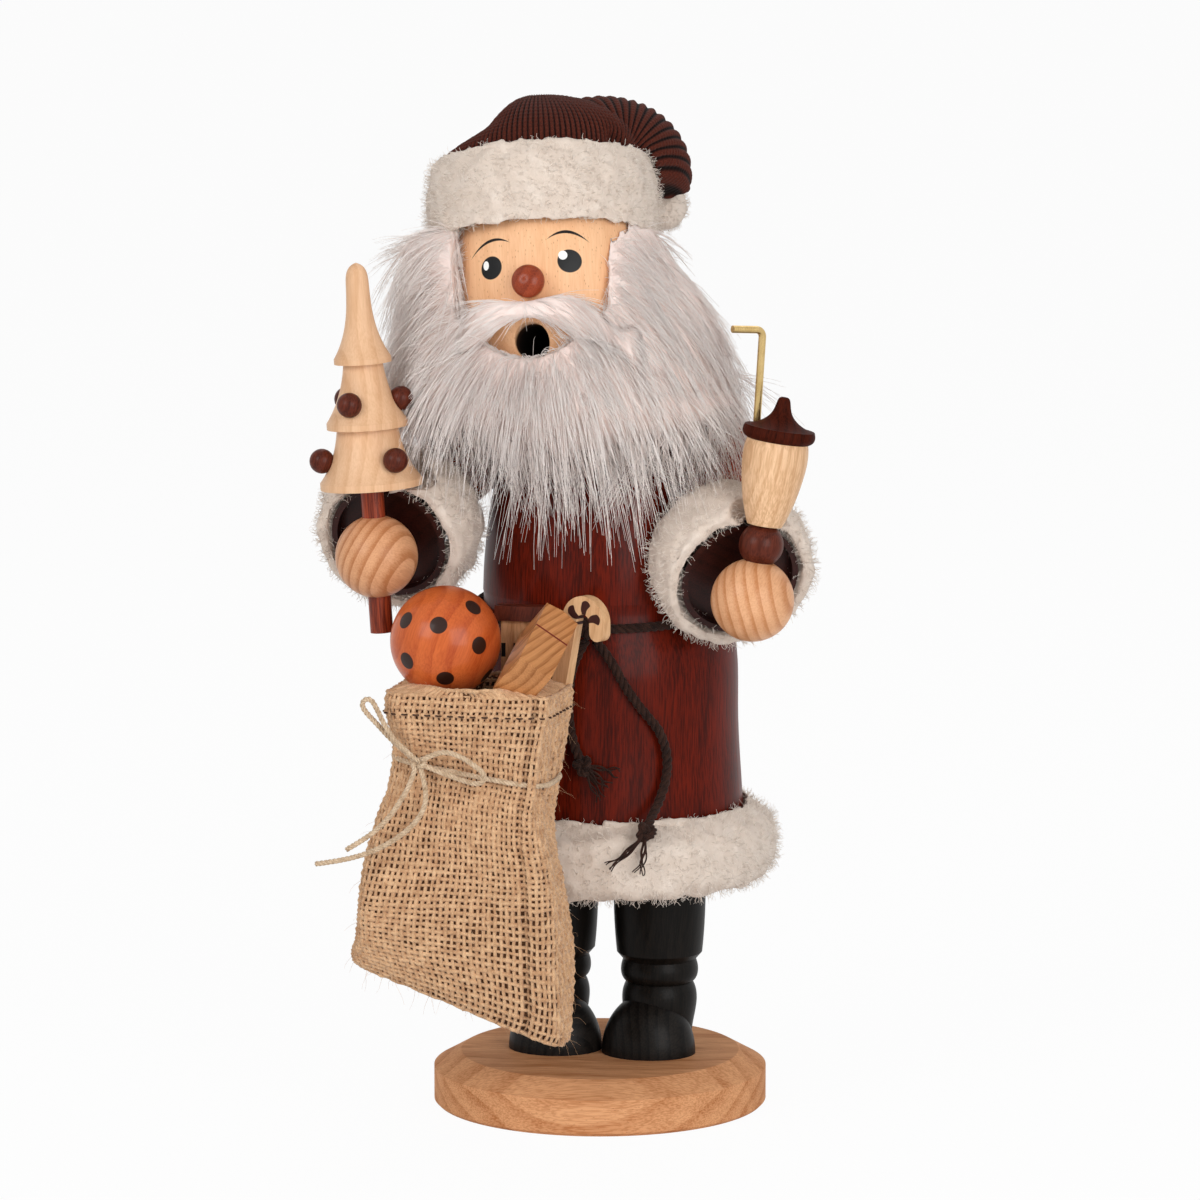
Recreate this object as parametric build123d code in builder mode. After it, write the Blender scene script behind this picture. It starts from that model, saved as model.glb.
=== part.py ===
"""Incense smoker in the form of a traditional Father Christmas, in millimetres.

The origin is the centre of the base's underside, +Z is up and the figure faces -Y. The upper body lifts
off the lower one, so that an incense cone can be set on the plate; the smoke rises through the hollow
torso and the neck and leaves by the mouth.
"""

import math
import os

from build123d import *

os.makedirs("parts", exist_ok=True)

# Clearances
glue_gap = 0.05
rest_gap = 0.3
lift_gap = 0.1
overrun = 5.0
bend_share = 0.45

# Base
base_radius = 55.0
base_height = 17.0
base_side_height = 12.0
base_top_radius = 46.0
base_edge = 1.0

# Figure's own axis on the base
body_x = 1.0
body_y = 4.5

# Boots
boot_height = 63.0
boot_radius = 15.2
boot_spread = 18.2
toe_half_width = 15.6
toe_half_depth = 14.0
toe_height = 19.6
toe_turn_in = 2.4
toe_forward = 6.0
dowel_radius = 3.0
dowel_bite = 9.0

# Coat
coat_radius = 45.5
coat_height = 90.5
spigot_radius = 33.0
spigot_height = 8.0
recess_radius = 22.0
recess_depth = 4.0
air_bore_radius = 5.0
hem_fur_radius = 57.5
hem_fur_height = 28.5
hem_fur_drop = 6.0

# Incense plate
plate_thickness = 0.6
plate_rim = 3.0
plate_well_radius = 10.0
plate_hole_radius = 1.6
plate_hole_count = 6

# Torso
torso_height = 64.0
chamber_radius = 29.0
chamber_height = 43.0
socket_play = 0.5

# Head, whose axis leans to the figure's right and back
head_x = -12.6
head_y = -15.2
head_z = 270.1
head_radius = 32.5
head_half_height = 32.0
head_roll = 6.0
head_tilt = 15.5
mouth_radius = 5.7
mouth_drop = 21.6
mouth_depth = 34.0
smoke_bore_radius = 5.5
neck_radius = 8.0
neck_start_z = 220.0
neck_start_back = 2.0
neck_inner_gap = 6.0
nose_radius = 5.35
nose_length = 7.0
nose_shank_radius = 2.5
nose_side = 1.4
nose_drop = 3.9

# Arms
arm_radius = 13.2
sleeve_length = 33.9
sleeve_start_radius = 12.6
sleeve_end_radius = 19.5
cup_depth = 4.0
cup_radius = 17.6
cuff_radius = 27.5
cuff_length = 26.0
cuff_overhang = 2.0
cuff_inner_gap = 0.2
hand_radius = 13.3
left_hand_reach = 13.3
right_hand_reach = 10.6
shoulder_dowel_length = 22.0
shoulder_dowel_start = 21.0
shoulder_dowel_z = 218.0
wrist_bite = 10.0
wrist_stop = 5.2
left_shoulder = (35.0, 4.0, 222.0)
left_elbow = (37.6, -4.9, 192.9)
left_reach = (0.466, -0.799, -0.378)
right_shoulder = (-36.0, 4.0, 221.0)
right_elbow = (-56.5, -10.4, 201.8)
right_reach = (-0.115, -0.933, -0.342)

# Tree in the right hand
tree_height = 72.0
tree_radius = 16.4
tree_lean = (-0.063, -0.015, 0.998)
trunk_radius = 3.7
trunk_above = 22.6
trunk_below = 24.6
trunk_seat = 10.0
tree_bead_radius = 4.0
tree_bead_shares = [(0.13, 0.933, -162.0), (0.384, 0.689, -102.0)]
beads_each = 3

# Lantern on the left hand
lantern_lean = (0.148, 0.034, 0.988)
lantern_bead_radius = 7.15
lantern_bead_rise = 17.9
lantern_radius = 10.4
lantern_height = 27.2
lantern_start = 24.3
cap_radius = 11.2
cap_height = 14.0
rod_radius = 1.2
rod_bend = 2.6
rod_seat = 2.2
rod_foot = (59.7, -37.5, 230.0)
rod_top = (62.4, -41.6, 261.2)
rod_tip = (54.2, -49.1, 261.9)

# Hat
hat_centre = (-17.6, -7.0, 299.0)
hat_band_radius = 38.6
hat_band_inner = 33.6
hat_band_below = 15.5
hat_band_above = 13.5
hat_start = 3.2
hat_crown_rise = 32.0
pompom_radius = 9.4
pompom_centre = (13.4, 32.0, 294.5)
hat_fall_shares = [
    ((0.301, 0.259, 0.466), (0.80, 0.45, 0.40), 0.518, 0.324),
    ((0.508, 0.363, 0.518), (0.83, 0.46, 0.28), 0.492, 0.326),
    ((0.715, 0.492, 0.435), (0.80, 0.50, -0.30), 0.415, 0.311),
    ((0.860, 0.648, 0.233), (0.42, 0.42, -0.80), 0.324, 0.249),
    ((0.876, 0.764, 0.052), (0.05, 0.45, -0.89), 0.233, 0.187),
]

# Hair and beard, as level ovals in shares of the head's radius from its centre: height, centre to the
# side and back, half width, half depth
mane_shares = [
    (0.551, -0.135, 0.222, 1.138, 1.077),
    (-0.003, -0.074, 0.160, 1.508, 1.200),
    (-0.526, 0.006, 0.145, 1.662, 1.308),
    (-1.018, 0.065, 0.083, 1.723, 1.400),
    (-1.542, 0.218, 0.037, 1.646, 1.354),
    (-1.972, 0.326, -0.055, 1.354, 1.138),
    (-2.372, 0.357, -0.271, 0.831, 0.800),
    (-2.665, 0.295, -0.640, 0.431, 0.338),
]
hair_parting_y = -7.0
hair_hem_z = 231.0
face_half_width = 24.5
face_top = 40.0
face_cheek = 12.0
chin_half_width = 15.0
chin_drop = 27.5
moustache_shares = [
    (0.0, -1.089, -0.400, 0.098, 0.102),
    (0.277, -1.071, -0.425, 0.129, 0.160),
    (0.585, -0.935, -0.538, 0.142, 0.203),
    (0.892, -0.670, -0.754, 0.115, 0.172),
    (1.060, -0.490, -0.910, 0.060, 0.100),
]

# Sack
sack_wall = 1.2
sack_corner = 6.0
sack_mouth_depth = 9.0
sack_foot = (-29.0, -54.0, 45.0)
sack_width = 68.0
sack_depth = 30.0
sack_height = 103.5
sack_shares = [
    (1.000, -0.338, 0.449, -0.833, 0.360, 0.0),
    (0.879, -0.346, 0.441, -0.833, 0.360, 0.0),
    (0.739, -0.316, 0.400, -0.767, 0.283, 9.0),
    (0.531, -0.397, 0.426, -0.900, 0.040, 4.0),
    (0.338, -0.463, 0.471, -1.017, 0.045, 0.0),
    (0.164, -0.500, 0.500, -0.983, -0.017, 8.0),
    (0.000, -0.500, 0.493, -0.750, -0.100, 20.6),
]
filling_sink = 5.3
tie_radius = 0.9
tie_place = 2

# Toys
toy_ball_radius = 17.7
toy_ball_centre = (-36.5, -61.0, 161.3)
block_width = 12.0
block_length = 28.9
block_depth = 17.4
block_corner = (-6.6, -83.5, 160.4)
block_across = (0.784, 0.231, -0.576)
block_along = (0.097, 0.872, 0.480)
block_gable = 1.2
house_left = -21.6
house_right = -6.6
house_front = -47.6
house_depth = 2.8
house_wall_top = 166.6
roof_thickness = 4.8
roof_overhang = 1.8
roof_depth = 5.6
cane_centre = (7.6, -52.6, 167.7)
cane_facing = (-0.423, -0.906, 0.0)
cane_across = (0.906, -0.423, 0.0)
cane_width = 5.8
cane_bend_radius = 5.5
cane_thickness = 3.6
cane_stem = 24.0
cane_stem_shift = 5.0

# Cord belt
belt_radius = 1.6
belt_below_joint = 4.9
belt_rise = 3.4
belt_knot_angle = -84.0
belt_knot_size = 3.6
belt_knot_shares = (1.2, 0.72, 1.15)
tail_knot_shares = (1.0, 0.85, 1.05)
tail_knot_size = 3.4
waist_radius = 40.4
tail_long_points = [
    (7.6, -39.4, 159.8),
    (10.8, -39.6, 156.0),
    (14.0, -39.2, 151.0),
    (16.9, -38.4, 145.2),
    (22.0, -36.5, 137.4),
    (27.5, -33.5, 130.4),
    (29.9, -32.3, 122.0),
    (29.6, -33.2, 113.8),
    (27.8, -36.6, 106.9),
    (26.3, -42.3, 102.4),
    (26.0, -45.6, 100.4),
]
tail_long_ends = [
    [(24.9, -47.9, 97.6), (21.4, -51.6, 93.2), (15.4, -54.2, 88.4)],
    [(25.9, -48.3, 97.4), (26.0, -50.4, 92.0), (24.6, -51.4, 86.4)],
]
tail_knot_long_centre = (25.9, -46.9, 99.3)
tail_short_points = [
    (4.4, -39.6, 159.6),
    (2.0, -41.2, 155.0),
    (0.2, -41.2, 150.0),
    (-0.8, -41.3, 144.0),
    (-0.8, -41.6, 136.0),
    (0.2, -41.9, 129.0),
    (2.0, -42.2, 123.6),
    (3.4, -42.4, 121.0),
]
tail_short_ends = [
    [(6.0, -42.0, 119.1), (10.8, -41.3, 118.4), (15.4, -39.6, 116.6)],
    [(6.0, -42.3, 118.0), (9.4, -42.2, 115.4), (12.2, -41.4, 112.4)],
    [(5.2, -42.4, 117.6), (7.4, -42.8, 113.0), (10.2, -42.4, 108.6)],
]
tail_knot_short_centre = (4.2, -42.3, 119.2)
strand_radius = 1.0

# String bow on the sack
bow_radius = 0.9
bow_knot_size = 2.8
bow_knot_shares = (1.05, 0.8, 1.0)
bow_knot_centre = (-40.2, -81.7, 125.0)
bow_loop_left_points = [
    (-41.2, -81.0, 125.6),
    (-45.2, -81.4, 129.0),
    (-49.6, -82.0, 133.0),
    (-53.6, -82.3, 137.4),
    (-56.6, -82.5, 140.4),
    (-58.4, -82.8, 143.0),
    (-57.4, -83.2, 145.2),
    (-54.9, -83.6, 145.4),
    (-52.9, -83.9, 142.0),
    (-50.4, -84.1, 137.0),
    (-47.2, -83.9, 132.2),
    (-43.8, -83.6, 129.4),
    (-41.0, -83.0, 126.6),
]
bow_loop_right_points = [
    (-38.8, -82.7, 126.3),
    (-34.8, -82.8, 128.4),
    (-30.6, -83.2, 129.4),
    (-25.6, -83.6, 128.0),
    (-21.2, -83.6, 125.2),
    (-18.4, -83.3, 123.0),
    (-18.3, -82.9, 120.4),
    (-20.6, -82.6, 119.2),
    (-24.2, -82.3, 119.8),
    (-29.6, -82.2, 121.4),
    (-34.2, -82.2, 123.0),
    (-38.6, -81.6, 124.4),
]
bow_tail_short_points = [
    (-41.0, -82.3, 123.6),
    (-42.4, -83.4, 118.4),
    (-45.4, -84.4, 113.0),
    (-48.2, -85.6, 108.6),
    (-52.0, -87.0, 104.4),
    (-57.0, -88.2, 100.6),
    (-62.0, -88.8, 97.6),
]
bow_tail_long_points = [
    (-39.2, -82.3, 123.6),
    (-37.4, -83.6, 118.4),
    (-36.8, -84.9, 112.6),
    (-39.2, -86.4, 107.6),
    (-43.4, -87.8, 103.4),
    (-49.0, -89.3, 99.6),
    (-55.6, -90.3, 96.6),
    (-63.4, -91.0, 94.4),
    (-71.4, -91.5, 93.1),
]

# Outlines as shares of their piece's radius and height
boot_foot_shares = [(0.77, 0.0), (0.77, 0.19), (0.81, 0.30), (0.724, 0.365)]
boot_ring_shares = [(0.724, 0.365), (0.80, 0.385), (0.842, 0.429), (0.79, 0.485)]
boot_leg_shares = [(0.93, 0.524), (0.975, 0.65), (1.0, 0.80), (1.0, 1.0)]
coat_shares = [
    (1.0, 0.012),
    (0.9934, 0.221),
    (0.958, 0.5525),
    (0.936, 0.82),
    (0.905, 0.895),
    (0.888, 0.94),
    (0.886, 1.0),
]
hem_shares = [(0.81, 1.0), (0.885, 0.885), (0.99, 0.68), (1.0, 0.42), (0.975, 0.16), (0.88, 0.0)]
torso_shares = [(0.888, 0.0), (0.875, 0.19), (0.805, 0.54), (0.745, 0.70), (0.62, 0.86), (0.42, 1.0)]
chamber_shares = [(1.0, 0.0), (1.0, 0.42), (0.52, 1.0), (0.0, 1.0)]
head_shares = [
    (0.50, -1.0),
    (0.72, -0.88),
    (0.87, -0.66),
    (0.975, -0.32),
    (1.0, 0.05),
    (0.965, 0.50),
    (0.85, 0.80),
    (0.60, 1.0),
]
sleeve_shares = [(0.0, 0.0), (0.12, 0.35), (0.5, 0.72), (1.0, 1.0)]
cuff_shares = [(0.90, 0.0), (0.985, 0.22), (1.0, 0.5), (0.985, 0.78), (0.90, 1.0)]
tree_low_shares = [(1.0, 0.03), (0.80, 0.10), (0.67, 0.18), (0.60, 0.267)]
tree_middle_shares = [(0.793, 0.294), (0.60, 0.37), (0.46, 0.46), (0.385, 0.555)]
tree_top_shares = [(0.561, 0.578), (0.40, 0.65), (0.275, 0.755), (0.226, 0.90), (0.16, 0.975), (0.0, 1.0)]
lantern_shares = [(0.54, 0.0), (0.76, 0.24), (0.96, 0.62), (1.0, 0.80), (0.94, 1.0)]
cap_brim_shares = [(0.88, 0.0), (1.0, 0.07), (1.0, 0.30)]
cap_cone_shares = [(0.93, 0.30), (0.60, 0.40), (0.30, 0.62), (0.20, 0.86), (0.15, 0.97), (0.0, 1.0)]
nose_shares = [(0.88, 0.0), (0.98, 0.30), (0.97, 0.60), (0.70, 0.88), (0.0, 1.0)]
hat_band_shares = [(0.93, 0.0), (0.99, 0.25), (1.0, 0.55), (0.97, 0.85), (0.91, 1.0)]
hat_dome_shares = [(1.0, 0.0), (0.96, 0.28), (0.76, 0.66), (0.38, 0.95), (0.0, 1.0)]

pieces = {}


def at_height(plane, distance):
    """The same plane, moved along its normal."""
    return plane.offset(distance)


def stretched(shares, radius, height, base=0.0):
    """Points of an outline from shares of a radius and a height."""
    return [(across * radius, base + up * height) for across, up in shares]


def turn(plane, *outline, mode=Mode.ADD):
    """Turned form round the plane's normal from (radius, height) corners; a list is a smooth run."""
    with BuildSketch(Plane(plane.origin, x_dir=plane.x_dir, z_dir=-plane.y_dir)) as profile:
        with BuildLine():
            for this, following in zip(outline, outline[1:] + outline[:1]):
                start = this
                if isinstance(this, list):
                    Spline(*this)
                    start = this[-1]
                end = following[0] if isinstance(following, list) else following
                if start != end:
                    Line(start, end)
        make_face()
    revolve(profile.sketch, axis=Axis(plane.origin, plane.z_dir), mode=mode)


def rod_shape(plane, radius, length, mode=Mode.ADD):
    """Round rod that starts on a plane and runs along its normal."""
    with Locations(plane):
        Cylinder(radius, length, align=(Align.CENTER, Align.CENTER, Align.MIN), mode=mode)


def oval(half_width, half_height):
    """Oval outline of four arcs in the sketch at hand."""
    diagonal = math.cos(math.radians(45))
    corners = [(half_width, 0), (0, half_height), (-half_width, 0), (0, -half_height)]
    with BuildLine() as outline:
        for start, end in zip(corners, corners[1:] + corners[:1]):
            middle = ((start[0] + end[0]) * diagonal, (start[1] + end[1]) * diagonal)
            ThreePointArc(start, middle, end)
    make_face(outline.edges())


def facing(origin, normal, across=(1, 0, 0)):
    """Plane through a point, square to a direction."""
    return Plane(origin=origin, x_dir=across, z_dir=normal)


def moved(plane, across, back, up):
    """The plane moved within its own axes."""
    return Plane(plane.from_local_coords((across, back, up)), x_dir=plane.x_dir, z_dir=plane.z_dir)


def keep(name, piece):
    """Take a finished piece into the list that is written out."""
    pieces[name] = piece


def cord(name, routes, radius, *knots):
    """Round cords of straight runs joined by tangent arcs as large as they can be, cut by their knots."""
    section_length = 0
    with BuildPart() as piece:
        for points in routes:
            stations = [Vector(*point) for point in points]
            bends = []
            for before, here, after in zip(stations, stations[1:], stations[2:]):
                half_turn = math.radians((here - before).get_angle(after - here)) / 2
                run = min((here - before).length, (after - here).length)
                bends.append(bend_share * run / math.tan(half_turn))
            with BuildLine() as route:
                FilletPolyline(*points, radius=bends)
            with BuildSketch(Plane(origin=points[0], z_dir=stations[1] - stations[0])):
                Circle(radius)
            sweep(path=route.wires()[0])
            section_length += route.wires()[0].length
            print(name, "radii", [round(bend, 1) for bend in bends])
        plain_volume = math.pi * radius**2 * section_length
        print("  length", round(section_length, 1), "volume share", round(piece.part.volume / plain_volume, 4))
        for tied in knots:
            add(tied.part, mode=Mode.SUBTRACT)
    keep(name, piece)


ground = Plane.XY
figure = Plane((body_x, body_y, 0))
coat_bottom = base_height + boot_height
joint_height = coat_bottom + coat_height

# Base disc
with BuildPart() as base_disc:
    turn(
        ground,
        (0, 0),
        (base_radius - base_edge, 0),
        (base_radius, base_edge),
        (base_radius, base_side_height),
        (base_top_radius, base_height),
        (0, base_height),
    )
    for side in (-1, 1):
        hole = moved(figure, side * boot_spread, 0, base_height - dowel_bite - glue_gap)
        rod_shape(hole, dowel_radius + glue_gap, dowel_bite + overrun, mode=Mode.SUBTRACT)
keep("base_disc", base_disc)


def boot(side):
    """Turned boot shaft with drilled ends."""
    centre = moved(figure, side * boot_spread, 0, base_height)
    with BuildPart() as shaft:
        turn(
            centre,
            (0, 0),
            stretched(boot_foot_shares, boot_radius, boot_height),
            stretched(boot_ring_shares, boot_radius, boot_height),
            stretched(boot_leg_shares, boot_radius, boot_height),
            (0, boot_height),
        )
        hole_radius = dowel_radius + glue_gap
        rod_shape(centre, hole_radius, dowel_bite + glue_gap, mode=Mode.SUBTRACT)
        top = moved(centre, 0, 0, boot_height - dowel_bite - glue_gap)
        rod_shape(top, hole_radius, dowel_bite + overrun, mode=Mode.SUBTRACT)
    return shaft


def toe(side, shaft):
    """Domed toe, cut to seat against its boot shaft."""
    unit_ball = Sphere(1, mode=Mode.PRIVATE)
    dome = scale(unit_ball, by=(toe_half_width, toe_half_depth, toe_height), mode=Mode.PRIVATE)
    place = (body_x + side * (boot_spread - toe_turn_in), body_y - toe_forward, base_height)
    shaft_radius = boot_radius * boot_foot_shares[0][0] + glue_gap
    with BuildPart() as piece:
        add(Pos(*place) * dome)
        split(bisect_by=Plane.XY.offset(base_height), keep=Keep.TOP)
        centre = moved(figure, side * boot_spread, 0, base_height)
        rod_shape(centre, shaft_radius, boot_height, mode=Mode.SUBTRACT)
        add(shaft.part, mode=Mode.SUBTRACT)
    return piece


for side, word in ((-1, "right"), (1, "left")):
    shaft = boot(side)
    keep("boot_" + word, shaft)
    keep("toe_" + word, toe(side, shaft))

with BuildPart() as boot_dowels:
    for side in (-1, 1):
        foot = moved(figure, side * boot_spread, 0, base_height - dowel_bite)
        rod_shape(foot, dowel_radius, 2 * dowel_bite)
keep("boot_dowels", boot_dowels)

with BuildPart() as leg_dowels:
    for side in (-1, 1):
        foot = moved(figure, side * boot_spread, 0, coat_bottom - dowel_bite)
        rod_shape(foot, dowel_radius, 2 * dowel_bite)
keep("leg_dowels", leg_dowels)

# Lower coat, with its spigot, plate recess and air bore
with BuildPart() as coat_skirt:
    coat_run = stretched(coat_shares, coat_radius, coat_height, coat_bottom)
    turn(
        figure,
        (air_bore_radius, coat_bottom),
        (coat_run[0][0] - base_edge, coat_bottom),
        coat_run,
        (spigot_radius, joint_height),
        (spigot_radius, joint_height + spigot_height),
        (recess_radius, joint_height + spigot_height),
        (recess_radius, joint_height + spigot_height - recess_depth),
        (air_bore_radius, joint_height + spigot_height - recess_depth),
    )
    for side in (-1, 1):
        hole = moved(figure, side * boot_spread, 0, coat_bottom - overrun)
        depth = overrun + dowel_bite + glue_gap
        rod_shape(hole, dowel_radius + glue_gap, depth, mode=Mode.SUBTRACT)
keep("coat_skirt", coat_skirt)

hem_bottom = coat_bottom - hem_fur_drop
with BuildPart() as hem_fur:
    hem_inner = coat_radius + rest_gap
    turn(
        figure,
        (hem_inner, hem_bottom),
        (hem_inner, hem_bottom + hem_fur_height),
        stretched(hem_shares, hem_fur_radius, hem_fur_height, hem_bottom),
    )
keep("hem_fur", hem_fur)

# Plate for the incense cone
plate_height = joint_height + spigot_height - recess_depth
with BuildPart() as cone_plate:
    plate_radius = recess_radius - rest_gap
    turn(
        at_height(figure, plate_height),
        (0, plate_thickness),
        (plate_well_radius, plate_thickness),
        (plate_well_radius, 0),
        (plate_radius, 0),
        (plate_radius, plate_rim),
        (plate_radius - plate_thickness, plate_rim),
        (plate_radius - plate_thickness, plate_thickness),
        (plate_well_radius + plate_thickness, plate_thickness),
        (plate_well_radius + plate_thickness, 2 * plate_thickness),
        (0, 2 * plate_thickness),
    )
    ring = (plate_well_radius + plate_radius) / 2
    with Locations(at_height(figure, plate_height)):
        with PolarLocations(ring, plate_hole_count):
            Cylinder(plate_hole_radius, overrun, mode=Mode.SUBTRACT)
keep("cone_plate", cone_plate)

# Head's axes
roll = math.radians(head_roll)
tilt = math.radians(head_tilt)
head_across = Vector(math.cos(roll), 0, math.sin(roll))
head_up = Vector(-math.sin(roll) * math.cos(tilt), math.sin(tilt), math.cos(roll) * math.cos(tilt))
head_plane = Plane((head_x, head_y, head_z), x_dir=head_across, z_dir=head_up)
head_front = -head_plane.y_dir
hat_plane = Plane(hat_centre, x_dir=head_across, z_dir=head_up)
mouth_end = head_plane.from_local_coords((0, overrun, -mouth_drop))
neck_start = Vector(body_x, body_y - neck_start_back, neck_start_z)
neck_plane = facing(neck_start, mouth_end - neck_start)
neck_reach = (mouth_end - neck_start).length


def head_form(gap):
    """The head's turned outline, grown by a gap."""
    run = stretched(head_shares, head_radius, head_half_height)
    bottom = -head_half_height - gap
    top = head_half_height + gap
    inner = [(across + gap, up) for across, up in run[1:-1]]
    grown = [(run[0][0] + gap, bottom)] + inner + [(run[-1][0] + gap, top)]
    turn(head_plane, (0, bottom), grown, (0, top))


def torso_form(gap):
    """The torso's turned outline, grown by a gap."""
    run = stretched(torso_shares, coat_radius, torso_height, joint_height)
    top = joint_height + torso_height + gap
    grown = [(across + gap, up) for across, up in run[:-1]] + [(run[-1][0] + gap, top)]
    turn(figure, (0, joint_height), grown, (0, top))


with BuildPart() as head_shape:
    head_form(glue_gap)

with BuildPart() as torso_shape:
    torso_form(glue_gap)

# Torso, with the socket, the smoke chamber and the neck's bore
shoulder_dowel_planes = [
    facing((body_x + side * shoulder_dowel_start, body_y, shoulder_dowel_z), (side, 0, 0), (0, 1, 0))
    for side in (-1, 1)
]
chamber_bottom = joint_height + spigot_height + socket_play
with BuildPart() as torso:
    torso_form(0)
    socket_radius = spigot_radius + lift_gap
    chamber_run = stretched(chamber_shares, chamber_radius, chamber_height, chamber_bottom)
    turn(
        figure,
        (0, joint_height),
        (socket_radius, joint_height),
        (socket_radius, chamber_bottom),
        *chamber_run,
        mode=Mode.SUBTRACT,
    )
    rod_shape(neck_plane, neck_radius + glue_gap, neck_reach, mode=Mode.SUBTRACT)
    for plane in shoulder_dowel_planes:
        length = shoulder_dowel_length + overrun
        rod_shape(at_height(plane, -glue_gap), dowel_radius + glue_gap, length, mode=Mode.SUBTRACT)
keep("torso", torso)

neck_length = neck_reach - neck_inner_gap
with BuildPart() as neck_tube:
    rod_shape(neck_plane, neck_radius, neck_length)
    rod_shape(at_height(neck_plane, -overrun), smoke_bore_radius, neck_reach + overrun, mode=Mode.SUBTRACT)
keep("neck_tube", neck_tube)

# Head with mouth, smoke bore and nose hole
mouth_plane = facing(mouth_end, head_front, head_across)
nose_root = head_radius - rest_gap
nose_centre = head_plane.from_local_coords((nose_side, -nose_root, -nose_drop))
nose_plane = facing(nose_centre, head_front, head_across)
with BuildPart() as head:
    head_form(0)
    rod_shape(neck_plane, neck_radius + glue_gap, neck_length + glue_gap, mode=Mode.SUBTRACT)
    rod_shape(neck_plane, smoke_bore_radius, neck_reach, mode=Mode.SUBTRACT)
    rod_shape(mouth_plane, mouth_radius, head_radius + mouth_depth, mode=Mode.SUBTRACT)
    with Locations(mouth_end):
        Sphere(mouth_radius, mode=Mode.SUBTRACT)
    shank_hole = at_height(nose_plane, -nose_length - glue_gap)
    rod_shape(shank_hole, nose_shank_radius + glue_gap, nose_length + overrun, mode=Mode.SUBTRACT)
keep("head", head)

with BuildPart() as nose_peg:
    turn(nose_plane, (0, 0), stretched(nose_shares, nose_radius, nose_length))
    rod_shape(at_height(nose_plane, -nose_length), nose_shank_radius, nose_length + glue_gap)
    add(head.part, mode=Mode.SUBTRACT)
keep("nose_peg", nose_peg)

# Zone that cuffs and sleeves keep clear: the coat below the joint and the torso above it
with BuildPart() as body_zone:
    torso_form(rest_gap)
    waist_zone = figure.offset(coat_bottom)
    zone_radius = coat_radius - base_edge / 2
    rod_shape(waist_zone, zone_radius, coat_height + base_edge)

body_parts = {}


def sleeve_outline(gap):
    """Points of the sleeve's flare, grown by a gap."""
    spread = sleeve_end_radius - sleeve_start_radius
    return [
        (sleeve_start_radius + flare * spread + gap, along * sleeve_length)
        for flare, along in sleeve_shares
    ]


def arm(word, shoulder, elbow, reach, hand_reach, dowel_plane, grip, held_zone):
    """Upper arm, bell sleeve, plush cuff and ball hand of one side."""
    upper_axis = facing(shoulder, Vector(*elbow) - Vector(*shoulder), (0, 1, 0))
    upper_length = (Vector(*elbow) - Vector(*shoulder)).length
    sleeve_axis = facing(elbow, reach, (0, 0, 1))
    hand_centre = sleeve_axis.from_local_coords((0, 0, sleeve_length + hand_reach))
    wrist_axis = moved(sleeve_axis, 0, 0, sleeve_length - cup_depth - wrist_bite)
    wrist_length = wrist_bite + cup_depth + hand_reach - wrist_stop
    wrist_hole = wrist_length + glue_gap

    with BuildPart() as upper:
        rod_shape(upper_axis, arm_radius, upper_length)
        with Locations(shoulder, elbow):
            Sphere(arm_radius)
        add(torso_shape.part, mode=Mode.SUBTRACT)
        hole_length = shoulder_dowel_length + glue_gap
        rod_shape(dowel_plane, dowel_radius + glue_gap, hole_length, mode=Mode.SUBTRACT)
    keep("arm_" + word, upper)

    with BuildPart() as arm_zone:
        rod_shape(upper_axis, arm_radius + glue_gap, upper_length)
        with Locations(shoulder, elbow):
            Sphere(arm_radius + glue_gap)

    with BuildPart() as sleeve:
        turn(
            sleeve_axis,
            (0, 0),
            sleeve_outline(0),
            (cup_radius, sleeve_length),
            (cup_radius, sleeve_length - cup_depth),
            (0, sleeve_length - cup_depth),
        )
        add(arm_zone.part, mode=Mode.SUBTRACT)
        add(torso_shape.part, mode=Mode.SUBTRACT)
        rod_shape(wrist_axis, dowel_radius + glue_gap, wrist_hole, mode=Mode.SUBTRACT)
    keep("sleeve_" + word, sleeve)

    cuff_end = sleeve_length + cuff_overhang
    with BuildPart() as cuff:
        inner = [point for point in sleeve_outline(cuff_inner_gap)]
        cuff_start = cuff_end - cuff_length
        turn(
            sleeve_axis,
            (inner[0][0], cuff_start),
            stretched(cuff_shares, cuff_radius, cuff_length, cuff_start),
            (inner[-1][0], cuff_end),
        )
        turn(
            sleeve_axis,
            (0, 0),
            inner,
            (inner[-1][0], cuff_end),
            (0, cuff_end),
            mode=Mode.SUBTRACT,
        )
        add(arm_zone.part, mode=Mode.SUBTRACT)
        add(body_zone.part, mode=Mode.SUBTRACT)
        held_zone(hand_centre)
    keep("cuff_" + word, cuff)

    with BuildPart() as hand:
        with Locations(hand_centre):
            Sphere(hand_radius)
        rod_shape(wrist_axis, dowel_radius + glue_gap, wrist_hole, mode=Mode.SUBTRACT)
        cup_floor = moved(sleeve_axis, 0, 0, sleeve_length - cup_depth - overrun)
        rod_shape(cup_floor, cup_radius, overrun + glue_gap, mode=Mode.SUBTRACT)
        grip(hand_centre)
    keep("hand_" + word, hand)
    body_parts[word] = (arm_zone, cuff, wrist_axis, hand_centre, wrist_length)


def tree_grip(hand_centre):
    """Hole right through the hand for the tree's trunk."""
    axis = facing(hand_centre, tree_lean)
    start = moved(axis, 0, 0, -hand_radius - overrun)
    rod_shape(start, trunk_radius + glue_gap, 2 * (hand_radius + overrun), mode=Mode.SUBTRACT)


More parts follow.
